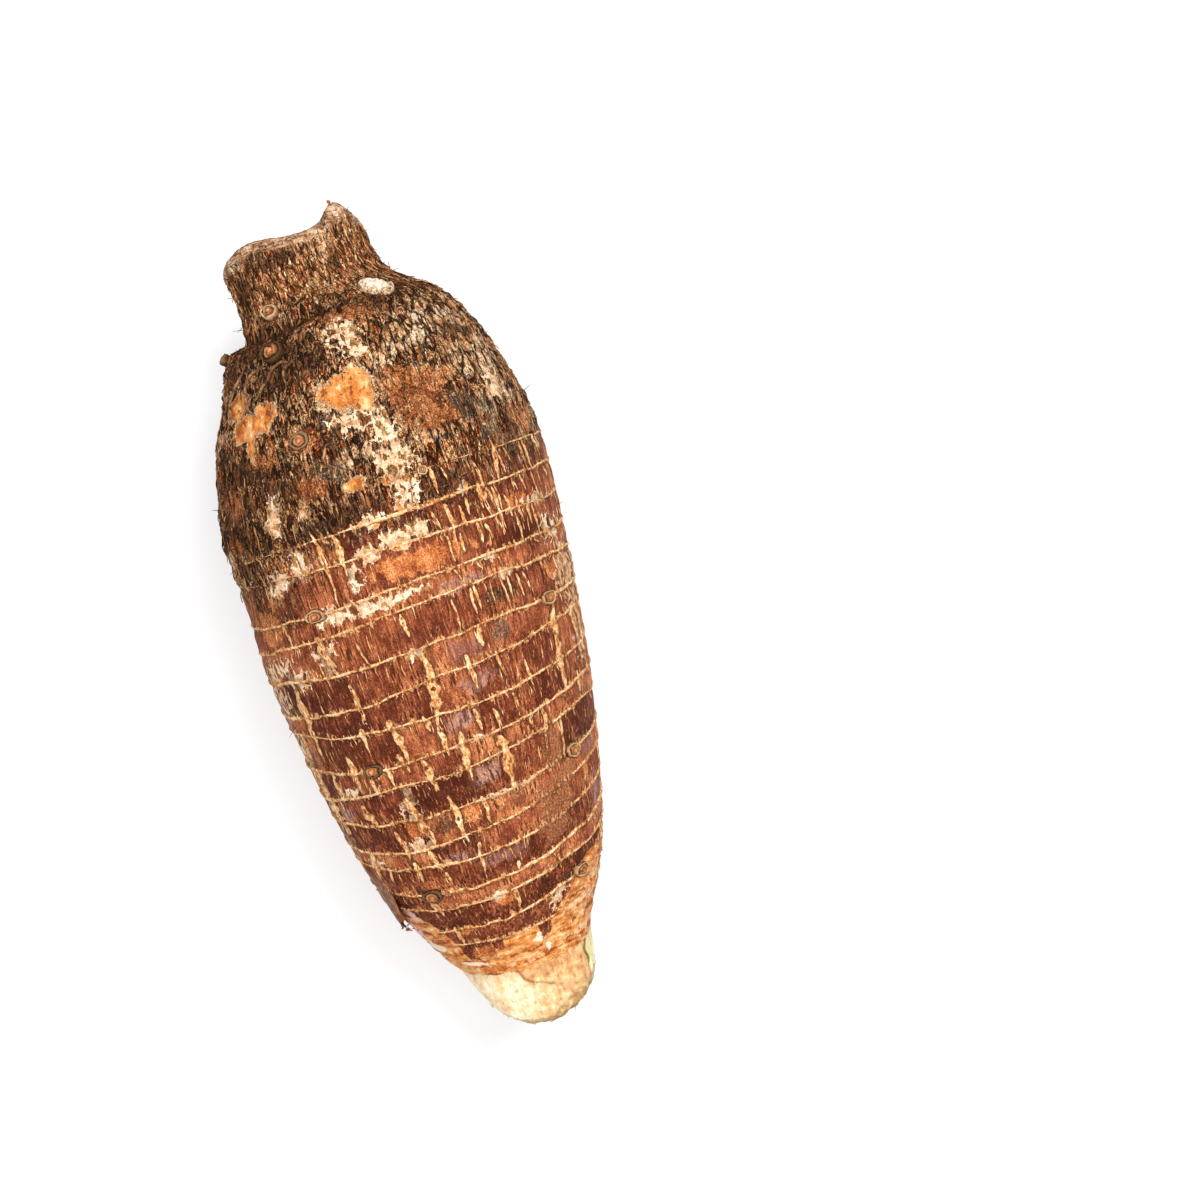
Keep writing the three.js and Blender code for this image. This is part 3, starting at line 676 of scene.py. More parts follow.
# Painted shade: the dark rim round the cork seams is partly their own edge and partly the shade beside the raised
# seams.
seam_rim_and_shade = bark.step(bark.lean("cork", (fleck, 0.9)), 0.45, 0.9, 0, 0.55)
colour = bark.mix(seam_rim_and_shade, colour, paint(78, 38, 24))

# Rolled rim of the neck, cracked along its edge, and the broken face inside it.
rim_mask = bark.step(bark.lean("rim_band", (blot, 4.5), (tone, 6)), 3, 3.8, 1, 0)
rim_mask = bark.times(rim_mask, bark.step(scorched, 0.2, 0.8, 1, 0.15))
rolled = bark.ramp(bark.lean(tone, (blot, 1.1), (crumb, 0.6)), (0.26, 98, 64, 42), (0.4, 166, 124, 90),
                   (0.55, 202, 162, 128), (0.7, 232, 202, 172))
split = bark.noise((130, 900, 130), 3, 0.6, 0.4)
rolled = bark.mix(bark.line(split, 0.46, 0.04, 0.85), rolled, paint(72, 46, 30))
colour = bark.mix(rim_mask, colour, rolled)
torn = bark.ramp(bark.lean(blot, (tone, 0.9), (shade, 0.8), (fibre, 0.6)), (0.32, 38, 26, 18),
                 (0.46, 90, 60, 40), (0.58, 146, 104, 70), (0.72, 208, 166, 122))
colour = bark.mix(bark.step("broken", 0.02, 0.2), colour, torn)
# Painted shade: the fold below the neck is painted nearly black, where shade falls into it.
colour = bark.mix(bark.times("fold", 0.85), colour, paint(26, 18, 14))

# Fine dark and light grit all over.
even = bark.sum("MAXIMUM", bark.sum("MAXIMUM", "collar", bare), bark.sum("MAXIMUM", rim_mask, cream_mask))
even = bark.sum("MAXIMUM", even, "scurf")
gritty = bark.times(bark.step(even, 0, 0.3, 1, 0.35), bark.step(shoulder_mask, 0, 1, 0.5, 0.9))
colour = bark.mix(gritty, colour, bark.step(grit, 0.3, 0.7, 0.1, 0.9), "OVERLAY")

glossy = bark.sum("MAXIMUM", young_skin_and_sheen_mask, bark.sum("MAXIMUM", bare, collar_mask))
matt = bark.sum("MAXIMUM", shoulder_mask, cream_mask)
height = bark.sum("ADD", bark.times(grain, 0.8), bark.times(bark.sum("ADD", fleck, grit), 0.5))
loose_height = bark.sum("ADD", bark.times(bark.sum("ADD", crumb, fibre), 0.5), bark.step(seamlet, 0, 0.12, 0,
                            0.35))
loose_height = bark.sum("SUBTRACT", loose_height, cracks)
loose_amount = bark.times(shoulder_mask, bark.step(even, 0, 0.5, 1, 0.1))
height = bark.sum("ADD", height, bark.times(loose_height, loose_amount))
bark.set(Base_Color=colour, Roughness=bark.sum("SUBTRACT", bark.step(matt, 0, 1, 0.66, 0.85), bark.times(glossy,
             0.22)), Specular_IOR_Level=0.06, Normal=bark.bump(height, 0.0008, 0.9))
corm_skin.data.materials.append(bark.material)
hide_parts("corm")
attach(corm_skin, "root")


# ---- Leaf scars ----
# Each ring on the corm is the line where an old leaf was joined on. The cut ends of its fibres
# stand a little proud of the bark as a thin, torn, straw coloured ridge.

def skin_at(row, column, lift=0.0):
    """Point on the finished skin at fractional grid places, lifted along its normal."""
    row, column, lift = np.broadcast_arrays(row, column, lift)
    column = column % COLUMNS
    top, left = np.floor(row).astype(int), np.floor(column).astype(int)
    top = np.clip(top, 0, row_count - 2)
    down, across = (row - top)[..., None], (column - left)[..., None]
    corners = [(top, left, (1 - down) * (1 - across)), (top, left + 1, (1 - down) * across),
               (top + 1, left, down * (1 - across)), (top + 1, left + 1, down * across)]
    point = sum(skin[r, c] * weight for r, c, weight in corners)
    out = sum(skin_normals[r, c] * weight for r, c, weight in corners)
    return point + out * lift[..., None]


def column_of(angle):
    return np.interp((angle + math.pi) % (2 * math.pi) - math.pi, column_angle, np.arange(COLUMNS + 1))


def row_of(angle, at_y):
    """Fractional grid row of the skin at this angle and y."""
    angle, at_y = np.broadcast_arrays(angle, at_y)
    left = np.floor(column_of(angle)).astype(int) % COLUMNS
    low = np.full(at_y.shape, FACE_ROWS)
    high = np.full(at_y.shape, row_count - LIP_ROWS - 1)
    for _ in range(10):
        middle = (low + high) // 2
        above = y[middle, left] > at_y
        low, high = np.where(above, middle, low), np.where(above, high, middle)
    part = (y[low, left] - at_y) / np.maximum(y[low, left] - y[low + 1, left], 1e-6)
    return low + np.clip(part, 0, 1)


def on_skin(angle, at_y, lift=0.0):
    return skin_at(row_of(angle, at_y), column_of(angle), lift)


def ring_y(at_level, angle):
    """Y at this angle of the ring whose y on top of the corm is the level."""
    number = np.interp(-at_level, -SCARS[:, 1], np.arange(len(SCARS)))
    part = (neck_rim(0) - at_level) / (neck_rim(0) - SCARS[0, 1])
    above = neck_rim(angle) + (scar_y(0, angle) - neck_rim(angle)) * part
    return np.where(at_level > SCARS[0, 1], above, scar_y(number, angle))


def strands(name, loops, **values):
    """One mesh of closed strands. Loops has axes strand, station, corner and xyz, and each strand
    is drawn to a point at both ends. Values are given for each strand, station and corner."""
    count, stations, corners = loops.shape[:3]
    ends = loops[:, (0, -1)].mean(axis=2)
    points = np.concatenate([loops.reshape(count, -1, 3), ends], axis=1)
    points[..., 2] = np.maximum(points[..., 2], 0)
    size = points.shape[1]
    faces, places = [], []
    for s in range(stations - 1):
        for c in range(corners):
            n = (c + 1) % corners
            faces.append((s * corners + c, s * corners + n, (s + 1) * corners + n, (s + 1) * corners + c))
            places += [(c, s + 1), (c + 1, s + 1), (c + 1, s + 2), (c, s + 2)]
    last = (stations - 1) * corners
    for c in range(corners):
        n = (c + 1) % corners
        faces += [(size - 2, n, c), (size - 1, last + c, last + n)]
        places += [(c + 0.5, 0), (c + 1, 1), (c, 1), (c + 0.5, stations + 1), (c, stations), (c + 1, stations)]
    every_face = [tuple(i + strand * size for i in face) for strand in range(count) for face in faces]
    mesh = bpy.data.meshes.new(name)
    mesh.from_pydata((points.reshape(-1, 3) * MM).tolist(), [], every_face)
    for label, value in values.items():
        value = np.broadcast_to(value, (count, stations, corners))
        value = np.concatenate([value.reshape(count, -1), value[:, (0, -1)].mean(axis=2)], axis=1)
        layer = mesh.attributes.new(label, "FLOAT", "POINT")
        layer.data.foreach_set("value", value.ravel().astype(np.float32))
    tiles = math.ceil(math.sqrt(count))
    places = np.array(places, dtype=float) / (corners, stations + 1) * 0.94 + 0.03
    tile = np.arange(count)
    corner = np.stack([tile % tiles, tile // tiles], axis=-1)
    uv = mesh.uv_layers.new(name="OFBake")
    uv.data.foreach_set("uv", ((places[None] + corner[:, None]) / tiles).ravel())
    piece = bpy.data.objects.new(name, mesh)
    bpy.context.collection.objects.link(piece)
    bpy.ops.object.select_all(action="DESELECT")
    bpy.context.view_layer.objects.active = piece
    piece.select_set(True)
    bpy.ops.object.mode_set(mode="EDIT")
    bpy.ops.mesh.select_all(action="SELECT")
    bpy.ops.mesh.normals_make_consistent(inside=False)
    bpy.ops.object.mode_set(mode="OBJECT")
    bpy.ops.object.shade_smooth()
    return piece


STATIONS = 720
scar_angle = np.linspace(-math.pi, math.pi, STATIONS) - 0.2 * np.sin(np.linspace(-math.pi, math.pi, STATIONS))
scar_column = column_of(scar_angle)
scar_column[-1] = COLUMNS
scar_loops = []
for number in range(2, last_scar):
    row = first_plate_row + number * len(PLATE_ROWS)
    track = np.stack([np.cos(scar_angle) * 45, np.sin(scar_angle) * 45, np.full(STATIONS, number * 9.0)], axis=-1)
    here = np.interp(scar_column, np.arange(COLUMNS + 1), smooth(fields["scurf"][row], -0.1, 0.2))
    here = np.maximum(here, np.interp(scar_column, np.arange(COLUMNS + 1), smooth(collar[row], -0.2, 0.3)))
    here = np.maximum(here, 0.8 * np.interp(scar_column, np.arange(COLUMNS + 1), smooth(shoulder[row], -0.2, 0.5)))
    power = SCARS[number, 3] * (
        1 - here) * (0.85 + 0.55 * noise(track * 0.05, 41, 2)) + 0.12 * noise(track * 0.4, 42)
    power = np.clip(power, 0, 1.35)
    jag_up, jag_down = noise(track * 1.3, 43, 2), noise(track * 1.9, 44, 2)
    broad = np.clip(noise(track * 0.07, 45) - 0.25, 0, 1) * 1.5
    up = (0.17 + 0.3 * power + 0.2 * jag_up) * smooth(power, 0.1, 0.3)
    down = (0.15 + 0.36 * power + 0.4 * np.maximum(jag_down, -0.3) + broad) * smooth(power, 0.1, 0.3)
    lift = np.where(power > 0.12, 0.04 + 0.26 * power + 0.08 * jag_up, -0.3)
    shift = 0.35 * noise(track * 0.25, 46)
    edges = ((shift - up, -0.22), (shift - up * 0.45, lift), (shift + down * 0.4, lift * 0.8), (shift + down, -0.2),
             (shift, -0.7))
    loop = []
    for offset, height in edges:
        at_y = np.interp(scar_column, np.arange(COLUMNS + 1), y[row]) - offset
        loop.append(skin_at(row_of(scar_angle, at_y), scar_column, height))
    scar_loops.append(np.stack(loop, axis=1))
scar_loops = np.array(scar_loops)
leaf_scars = strands("leaf_scars", scar_loops, rim=np.array([1, 0.2, 0.2, 1, 0]))

cork_bark = Recipe("straw_cork")
strand_noise = cork_bark.noise((1500, 420, 1500), 4, 0.7)
spot = cork_bark.noise((700, 560, 700), 4, 0.7)
wash = cork_bark.noise((90, 90, 90), 3)
cork_value = cork_bark.lean(strand_noise, (spot, 1.3), (wash, 0.5))
cork_colour = cork_bark.ramp(cork_value, (0.26, 108, 60, 31), (0.4, 194, 128, 73), (0.54, 230, 174, 116),
                             (0.72, 252, 222, 178))
# Darker where the rim value is high: on scar ridges and seams that is their flanks and foot, partly painted shade; on
# flecks it is a random darker tone.
cork_rim_and_shade = cork_bark.step(cork_bark.lean("rim", (spot, 0.8)), 0.6, 1.1, 0, 0.6)
cork_colour = cork_bark.mix(cork_rim_and_shade, cork_colour, paint(112, 62, 36))
cork_bark.set(Base_Color=cork_colour, Roughness=0.8, Specular_IOR_Level=0.06,
              Normal=cork_bark.bump(cork_bark.sum("ADD", strand_noise, spot), 0.0004, 0.9))
leaf_scars.data.materials.append(cork_bark.material)
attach(leaf_scars, "root")


# ---- Cork seams ----
# Where the flesh swelled faster than its skin the plates tore lengthwise, and corky tissue healed
# the tears into raised, crumbling, lens shaped seams.

SEAM_STATIONS = 36
t = np.linspace(0, 1, SEAM_STATIONS)
seam_loops = []
for index, (start, end, upper, lower, width) in enumerate(SEAMS):
    line = np.stack([t * abs(upper - lower) * 0.9, np.full(SEAM_STATIONS, index * 5.3),
                        np.zeros(SEAM_STATIONS)], axis=-1)
    drift = 0.4 * noise(line * 0.3, 51)
    taper = np.sin(math.pi * (t * 0.98 + 0.01) ** 0.7) ** 0.7 * (1 + 0.3 * noise(line * 0.2, 52))
    sides = [taper * width * (0.95 + 0.6 * noise(line * 0.5, seed) + 0.35 * noise(line * 1.5,
                                  seed)) for seed in (53, 54)]
    place_angle = np.radians(start + (end - start) * t)
    place_y = ring_y(upper + (lower - upper) * t, place_angle)
    crown = 0.16 * noise(line * 0.7, 55, 2)
    loop = []
    for across, height in ((-1, -0.25), (-0.8, 0.2), (-0.3, 0.06), (0.3, 0.06), (0.8, 0.2), (1, -0.25), (0, -0.8)):
        offset = drift + across * np.maximum(sides[across > 0], 0.1) * 1.5
        turned = place_angle + offset / np.maximum(half_width(place_y), 1)
        lift = height * np.minimum(taper * 1.3, 1) + (crown if height > 0 else 0) + 0.05
        loop.append(on_skin(turned, place_y, np.where(taper > 0.02, lift, -0.3)))
    seam_loops.append(np.stack(loop, axis=1))
cork_seams = strands("cork_seams", np.array(seam_loops), rim=np.array([1.2, 0.75, 0.1, 0.1, 0.75, 1.2, 0]))
cork_seams.data.materials.append(cork_bark.material)
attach(cork_seams, "root")


# ---- Cork flecks ----
# Small slivers of the same cork in short tears all over the plates, most of them near the scars.

def slivers(rows, columns, reach, lean, width, height, seed, frayed=0.0):
    """Loops of thin pointed slivers lying lengthwise on the skin, 5 stations and 3 corners each."""
    part = np.linspace(0, 1, 5)
    count = len(rows)
    wave = noise(np.stack(np.broadcast_arrays(np.arange(count)[:, None] * 3.7, part * 2.2, 0.0), axis=-1), seed)
    row = rows[:, None] + reach[:, None] * part
    column = columns[:, None] + lean[:, None] * part + wave * 0.35
    body = np.sin(math.pi * (part * 0.86 + 0.07))
    up = height[:, None] * body - 0.1 + np.asarray(frayed)[..., None] * part ** 2
    half = width[:, None] * body / 2
    middle = skin_at(row, column, up)
    low = skin_at(row, column, up - height[:, None] * 0.5 - 0.06)
    ahead = np.gradient(middle, axis=1)
    out = middle - low
    across = np.cross(ahead, out)
    across /= np.maximum(np.linalg.norm(across, axis=-1, keepdims=True), 1e-9)
    return np.stack([low - across * half[..., None], middle, low + across * half[..., None]], axis=2)


def pick(rng, weight, count):
    """Fractional rows and columns of points on the skin chosen by weight."""
    area = np.linalg.norm(np.gradient(skin, axis=0), axis=-1) * np.linalg.norm(np.gradient(skin, axis=1), axis=-1)
    chances = (weight * area)[FACE_ROWS:row_count - LIP_ROWS - 14, :COLUMNS].ravel()
    index = rng.choice(len(chances), count, p=chances / chances.sum())
    return FACE_ROWS + index // COLUMNS + rng.random(count), index % COLUMNS + rng.random(count)


rng = np.random.default_rng(8)
near_scar = np.exp(-np.abs(scar_gap + 0.6) / 1.5)
fleck_weight = (0.16 + near_scar) * smooth(-shoulder, 0.0, 0.6) * smooth(-collar, -0.1, 0.3)
fleck_rows, fleck_columns = pick(rng, fleck_weight * smooth(-fields["scurf"], -0.3, 0.2), 3400)
size = rng.random(3400) ** 2.2
flecks = slivers(fleck_rows, fleck_columns, 1 + 5 * size, rng.uniform(-0.2, 0.35, 3400), 0.24 + 0.4 * size,
                 0.14 + 0.16 * size, 61)
cork_flecks = strands("cork_flecks", flecks, rim=(0.9 * rng.random(3400))[:, None, None])
cork_flecks.data.materials.append(cork_bark.material)
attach(cork_flecks, "root")


# ---- Bark fibres ----
# The bark of the shoulder and neck is the worn bases of the first leaves, all loose dark fibres and
# straw coloured splinters that lie lengthwise, thickest in the fold below the neck.

FIBRES = 4200
fibre_weight = smooth(shoulder, -0.5, 0.6) * (0.14 + 0.9 * smooth(y, 88, 100) + 0.6 * smooth(fields["dark"],
                          -0.3, 0.3))
fibre_weight = fibre_weight * (1 - 0.96 * smooth(np.maximum(fields["peeled"], fields["orange"]), -0.1, 0.1))
fibre_weight = fibre_weight * smooth(rim_gap, 0.4, 3) * (1 - 0.6 * smooth(fields["pale"], -0.2, 0.3))
fibre_rows, fibre_columns = pick(rng, fibre_weight, FIBRES)
size = rng.random(FIBRES) ** 1.6
seed_row, seed_column = fibre_rows.astype(int), fibre_columns.astype(int)
deep = smooth(fields["dark"][seed_row, seed_column], -0.5, 0.4)
frayed = np.where(rng.random(FIBRES) < 0.07, rng.uniform(0.4, 1.3, FIBRES), 0)
# Fibres are darker in the dark patches, and darker again in the fold below the neck as painted shade.
fibre_tone = rng.normal(0.38, 0.28, FIBRES) - 0.25 * deep - 0.35 * fold[seed_row, seed_column]
fibre_tone = np.clip(fibre_tone, 0, 1)
tangled = smooth(-np.abs(y[seed_row, seed_column % COLUMNS] - 93), -9, -4)
fibres = slivers(fibre_rows, fibre_columns, (2.4 + 5 * size) * (1 - 0.5 * tangled),
                 rng.normal(0, 0.5 + 1.7 * tangled), 0.18 + 0.2 * rng.random(FIBRES),
                 0.2 + 0.3 * rng.random(FIBRES), 62, frayed)
bark_fibres = strands("bark_fibres", fibres, tone=fibre_tone[:, None, None])

fibrous = Recipe("bark_fibre")
hair = fibrous.noise((1600, 500, 1600), 3, 0.7)
fibrous.set(Base_Color=fibrous.ramp(fibrous.lean("tone", (hair, 0.7)), (0.05, 42, 25, 15), (0.35, 98, 60, 35),
                (0.6, 168, 110, 64), (0.95, 226, 176, 122)), Roughness=0.85, Specular_IOR_Level=0.05)
bark_fibres.data.materials.append(fibrous.material)
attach(bark_fibres, "root")


# ---- Bark flakes ----
# Dead outer bark breaks into small curled plates, mostly under the neck and on the left shoulder.

FLAKES = 420
flake_weight = smooth(shoulder, -0.2, 0.6) * (0.05 + smooth(y, 82, 92) * smooth(-y, -110,
                          -98) + smooth(fields["dark"], -0.2, 0.3))
flake_weight = flake_weight * (1 - smooth(np.maximum(fields["peeled"], fields["orange"]), -0.1, 0.1))
flake_rows, flake_columns = pick(rng, flake_weight, FLAKES)
flake_tone = np.clip(rng.normal(0.22, 0.18, FLAKES), 0, 1)
flakes = slivers(flake_rows, flake_columns, 2.5 + 3 * rng.random(FLAKES), rng.normal(0, 1.2, FLAKES),
                 0.9 + 1.1 * rng.random(FLAKES), 0.4 + 0.3 * rng.random(FLAKES), 63, 0.5 * rng.random(FLAKES) ** 2)
bark_flakes = strands("bark_flakes", flakes, tone=flake_tone[:, None, None])
bark_flakes.data.materials.append(fibrous.material)
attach(bark_flakes, "root")


# ---- Side buds ----
# Dormant buds sit on the leaf scars, each a low dome of scales in rings with a pinkish eye. Those
# of the old shoulder have dried to pale corky knobs.

BUD_ANGLES = (-33, 183, 55, -105, 111)
FIRST_BUD_RING = 5
# Angle, y, length round the corm, width, height, then how pale, dark and pink it is.
SHOULDER_BUDS = [ (-22, 61, 8, 6.4, 0.7, 0.2, 0.75, 0.35), (17, 42, 4, 3.4, 0.8, 0.5, 0.2, 0),
                       (-31, 90, 9, 6.8, 2.6, 0.1, 1, 0.2), (-37, 103.3, 7.4, 5.4, 1.8, 0.5, 0.3, 0),
                       (32, 100.5, 10.4, 6.4, 2, 1.3, 0, 0), (-80, 93.6, 4, 3.4, 2.6, 0, 0.8, 0), (118, 60, 8, 6.6, 1.2, 0.3, 0.2, 0.7),
                   (-128, 66, 7.6, 6, 1.2, 0.3, 0.3, 0.5), (170, 99, 8, 6, 2, 1, 0.2, 0), ]
BUD_PROFILE = np.array([(0, 0.86), (0.12, 0.84), (0.24, 0.72), (0.3, 0.55), (0.36, 0.74), (0.48, 0.8), (0.56, 0.62),
                        (0.61, 0.4), (0.66, 0.66), (0.76, 0.78), (0.86, 0.56), (0.93, 0.2), (1, -0.45), (1, -0.9)])
bud_places = list(SHOULDER_BUDS)
for number in range(FIRST_BUD_RING, last_scar - 1):
    bud_degrees = BUD_ANGLES[(number - FIRST_BUD_RING) % len(BUD_ANGLES)]
    bud_y = float(scar_y(number, math.radians(bud_degrees))) - 0.6
    if skin_point(math.radians(bud_degrees), bud_y)[2] > 7:
        dark = 0.9 if number in (10, 15) else 0.35
        bud_places.append((bud_degrees, bud_y, 8.4, 4.8, 1.3, 0.1, dark, 0.3))
bud_columns = 36
bud_turn = np.linspace(-math.pi, math.pi, bud_columns + 1)
buds = []
for index, (bud_degrees, bud_y, length, width, tall, pale, dark, pink) in enumerate(bud_places):
    ring = BUD_PROFILE[:, 0][:, None]
    uneven = noise(np.stack(np.broadcast_arrays(np.cos(bud_turn) * 1.3, np.sin(bud_turn) * 1.3,
                       index * 4.1 + ring), axis=-1), 71, 2)
    reach = ring * (1 + 0.17 * uneven)
    across, lengthwise = reach * np.sin(bud_turn) * length / 2, reach * np.cos(bud_turn) * width / 2
    bud_angle = math.radians(bud_degrees) + across / half_width(bud_y)
    lift = BUD_PROFILE[:, 1][:, None] * tall * 1.15 + 0.12 * uneven * (ring < 0.9)
    points = on_skin(bud_angle, bud_y + lengthwise, lift)
    points[0] = points[0].mean(axis=0)
    points[-1] = on_skin(np.radians(bud_degrees), bud_y, -1.2)
    points[:, -1] = points[:, 0]
    shape = points.shape[:2]
    buds.append(grid_piece(f"bud_{index}", points, {
        "ring": np.broadcast_to(ring, shape), "pale": np.full(shape, pale), "dark": np.full(shape, dark),
        "pink": np.full(shape, pink)}))
bpy.ops.object.select_all(action="DESELECT")
for bud in buds:
    bud.select_set(True)
bpy.context.view_layer.objects.active = buds[0]
bpy.ops.object.join()
side_buds = bpy.context.object
side_buds.name = side_buds.data.name = "side_buds"
side_buds.data.uv_layers.remove(side_buds.data.uv_layers[0])

scale = Recipe("bud_scale")
speck = scale.noise((900, 900, 900), 4, 0.7)
ring_value = scale.lean("ring", (speck, 0.45))
ringed = scale.ramp(ring_value, (0.0, 240, 190, 140), (0.13, 204, 122, 74), (0.27, 62, 32, 16),
                        (0.38, 198, 134, 84), (0.5, 148, 92, 54), (0.6, 46, 24, 12), (0.69, 240, 200, 150),
                        (0.82, 214, 164, 114), (0.95, 74, 40, 22))
pale_bud = scale.ramp(scale.lean(speck, ("ring", -0.3)), (0.3, 90, 62, 42), (0.42, 206, 170, 134),
                      (0.56, 250, 232, 212))
ringed = scale.mix(scale.step(scale.lean("pale", (speck, 1)), 0.5, 0.8), ringed, pale_bud)
pink_core = scale.step(scale.lean("ring", (speck, 0.3)), 0.3, 0.5, 1, 0)
ringed = scale.mix(scale.times(pink_core, "pink"), ringed, paint(204, 132, 92))
ringed = scale.mix(scale.times("dark", scale.step("ring", 0.4, 0.62, 0, 0.92)), ringed, paint(46, 26, 14))
scale.set(Base_Color=ringed, Roughness=0.85, Specular_IOR_Level=0.03, Normal=scale.bump(speck, 0.0005, 0.8))
side_buds.data.materials.append(scale.material)
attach(side_buds, "root")


# ---- Rootlets and hairs ----
# Dried rootlets still cling to the left shoulder, and loose hairs of fibre stick out at the neck,
# the rim and here and there along both sides.

# Rootlets as lists of (angle, y, height over the skin).
ROOTLETS = [ [(-41, 87, -0.3), (-44, 85.5, 0.9), (-46.5, 82.5, 1.2), (-47, 79.5, 1.1), (-46, 77, 0.9),
                   (-43, 74, 0.4), (-41.5, 73, -0.3)], [(-24, 85.8, -0.3), (-28, 85.7, 0.9), (-32, 84, 1.2),
                   (-35, 81.5, 1.3), (-37.5, 79.3, 1), (-41, 77.8, 0.5), (-43, 77, -0.3)], [(-21.5, 85.8, -0.2),
                   (-23.5, 84.4, 1), (-25.6, 82.4, 1.1), (-26, 80.4, 0.7), (-25.5, 79, -0.2)], [(-52, 88, -0.3),
                   (-56, 84, 1.1), (-60, 80, 1), (-59, 75, 0.6), (-57, 72, -0.3)], [(140, 92, -0.3),
                   (146, 88, 1.1), (150, 82, 1.2), (148, 76, 0.8), (150, 71, -0.3)], [(-110, 90, -0.3),
                   (-114, 85, 1.1), (-112, 79, 1.2), (-117, 74, -0.2)], ]


def tube(points, radius, sides=7, seed=0):
    """Loops of one bent round strand through points, with its radius at each."""
    points = np.asarray(points)
    ahead = np.gradient(points, axis=0)
    ahead /= np.linalg.norm(ahead, axis=-1, keepdims=True)
    side_way = np.cross(ahead, (0.13, 0.24, 0.96))
    side_way /= np.linalg.norm(side_way, axis=-1, keepdims=True)
    up_way = np.cross(side_way, ahead)
    around = np.linspace(0, 2 * math.pi, sides, endpoint=False)[:, None]
    ring = side_way[:, None] * np.cos(around) + up_way[:, None] * np.sin(around)
    uneven = 1 + 0.18 * noise(np.stack(np.broadcast_arrays(points[:, None, 0] * 0.9, points[:, None, 1] * 0.9,
                                  around[:, 0] + seed), axis=-1), 81)
    return points[:, None] + ring * (np.asarray(radius)[:, None] * uneven)[..., None]


loops = []
for index, path in enumerate(ROOTLETS):
    path = np.array(path, dtype=float)
    table = np.column_stack([np.arange(len(path)), path])
    at = np.linspace(0, len(path) - 1, 26)
    line = on_skin(np.radians(along(table, 1, at)), along(table, 2, at), along(table, 3, at))
    thick = 0.5 * np.interp(at / at[-1], (0, 0.1, 0.8, 1), (0.8, 1, 0.8, 0.45))
    loops.append(tube(line, thick, seed=index * 3.1))
rootlets = strands("rootlets", np.array(loops))
dry_root = Recipe("dry_root")
wrinkle = dry_root.noise((700, 500, 700), 4, 0.7)
dry_root.set(Base_Color=dry_root.ramp(wrinkle, (0.36, 62, 38, 22), (0.5, 116, 80, 52), (0.66, 174, 134, 96)),
             Roughness=0.85, Specular_IOR_Level=0.05)
rootlets.data.materials.append(dry_root.material)
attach(rootlets, "root")

HAIRS = 210
hair_rows, hair_columns = pick(
    rng, smooth(shoulder, 0, 0.6) * (0.2 + smooth(y, 94, 100) + 2 * smooth(-rim_gap, -2.5, -0.5)), HAIRS)
extra_rows, extra_columns = pick(rng, smooth(-collar, 0, 0.5) * smooth(-shoulder, 0, 0.3) * np.ones_like(angle), 36)
hair_rows, hair_columns = np.append(hair_rows, extra_rows), np.append(hair_columns, extra_columns)
loops = []
for row, column in zip(hair_rows, hair_columns):
    root = skin_at(row, column, -0.2)
    out = skin_at(row, column, 1.0) - skin_at(row, column, 0.0)
    bend = rng.normal(0, 0.75, 3)
    reach = rng.uniform(0.6, 2)
    part = np.linspace(0, 1, 6)[:, None]
    line = root + out * part * reach * 0.75 + bend * part ** 2 * reach * 0.8
    loops.append(tube(line, np.linspace(0.16, 0.05, 6), sides=4))
fibre_hairs = strands("fibre_hairs", np.array(loops), tone=np.clip(rng.normal(0.2, 0.15, len(loops)), 0, 1)[:,
                          None, None])
fibre_hairs.data.materials.append(fibrous.material)
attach(fibre_hairs, "root")


# ---- Torn flap ----
# Low on the left a strip of the thin outer skin has torn loose. It hangs toward the leaf stalks
# with a ragged end and crumbs of brown bark caught on it.

FLAP_ROWS, FLAP_COLUMNS = 26, 14
flap_u = np.linspace(0, 1, FLAP_ROWS)[:, None]
flap_v = np.linspace(0, 1, FLAP_COLUMNS)[None, :]
flap_angle = np.radians(-104 + 42 * flap_v + 4 * flap_u * (flap_v - 0.5))
ragged_end = noise(np.stack(np.broadcast_arrays(flap_v * 5, flap_u * 0 + 2.0, flap_u * 0), axis=-1), 91, 2)
flap_y = -76.5 - flap_u * (14.5 + 2 * ragged_end - 5 * np.abs(flap_v - 0.45))
crinkle = noise(np.stack(np.broadcast_arrays(flap_v * 3, flap_u * 4, flap_u * 0), axis=-1), 92, 2)
flap_lift = 0.1 + 2.6 * flap_u ** 1.5 + 0.5 * crinkle * flap_u + 0.5 * np.sin(flap_v * 9) * flap_u ** 2
outer_face = on_skin(flap_angle, flap_y, flap_lift)
inner_face = on_skin(flap_angle, flap_y, flap_lift - 0.45)
flap_loops = np.stack([np.concatenate([outer_face[i], inner_face[i, ::-1]]) for i in range(FLAP_ROWS)])[None]
torn_flap = strands("torn_flap", flap_loops, end=flap_u[None])
loose = Recipe("loose_skin")
mottle = loose.noise((420, 300, 420), 4, 0.65)
loose_colour = loose.ramp(mottle, (0.3, 84, 48, 32), (0.5, 136, 90, 64), (0.7, 182, 138, 106))
loose_colour = loose.mix(loose.step(loose.lean("end", (mottle, 0.8)), 0.72, 0.95), loose_colour,
                         paint(128, 70, 40))
loose.set(Base_Color=loose_colour, Roughness=0.6, Specular_IOR_Level=0.12, Normal=loose.bump(mottle, 0.0004, 0.7))
torn_flap.data.materials.append(loose.material)
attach(torn_flap, "root")

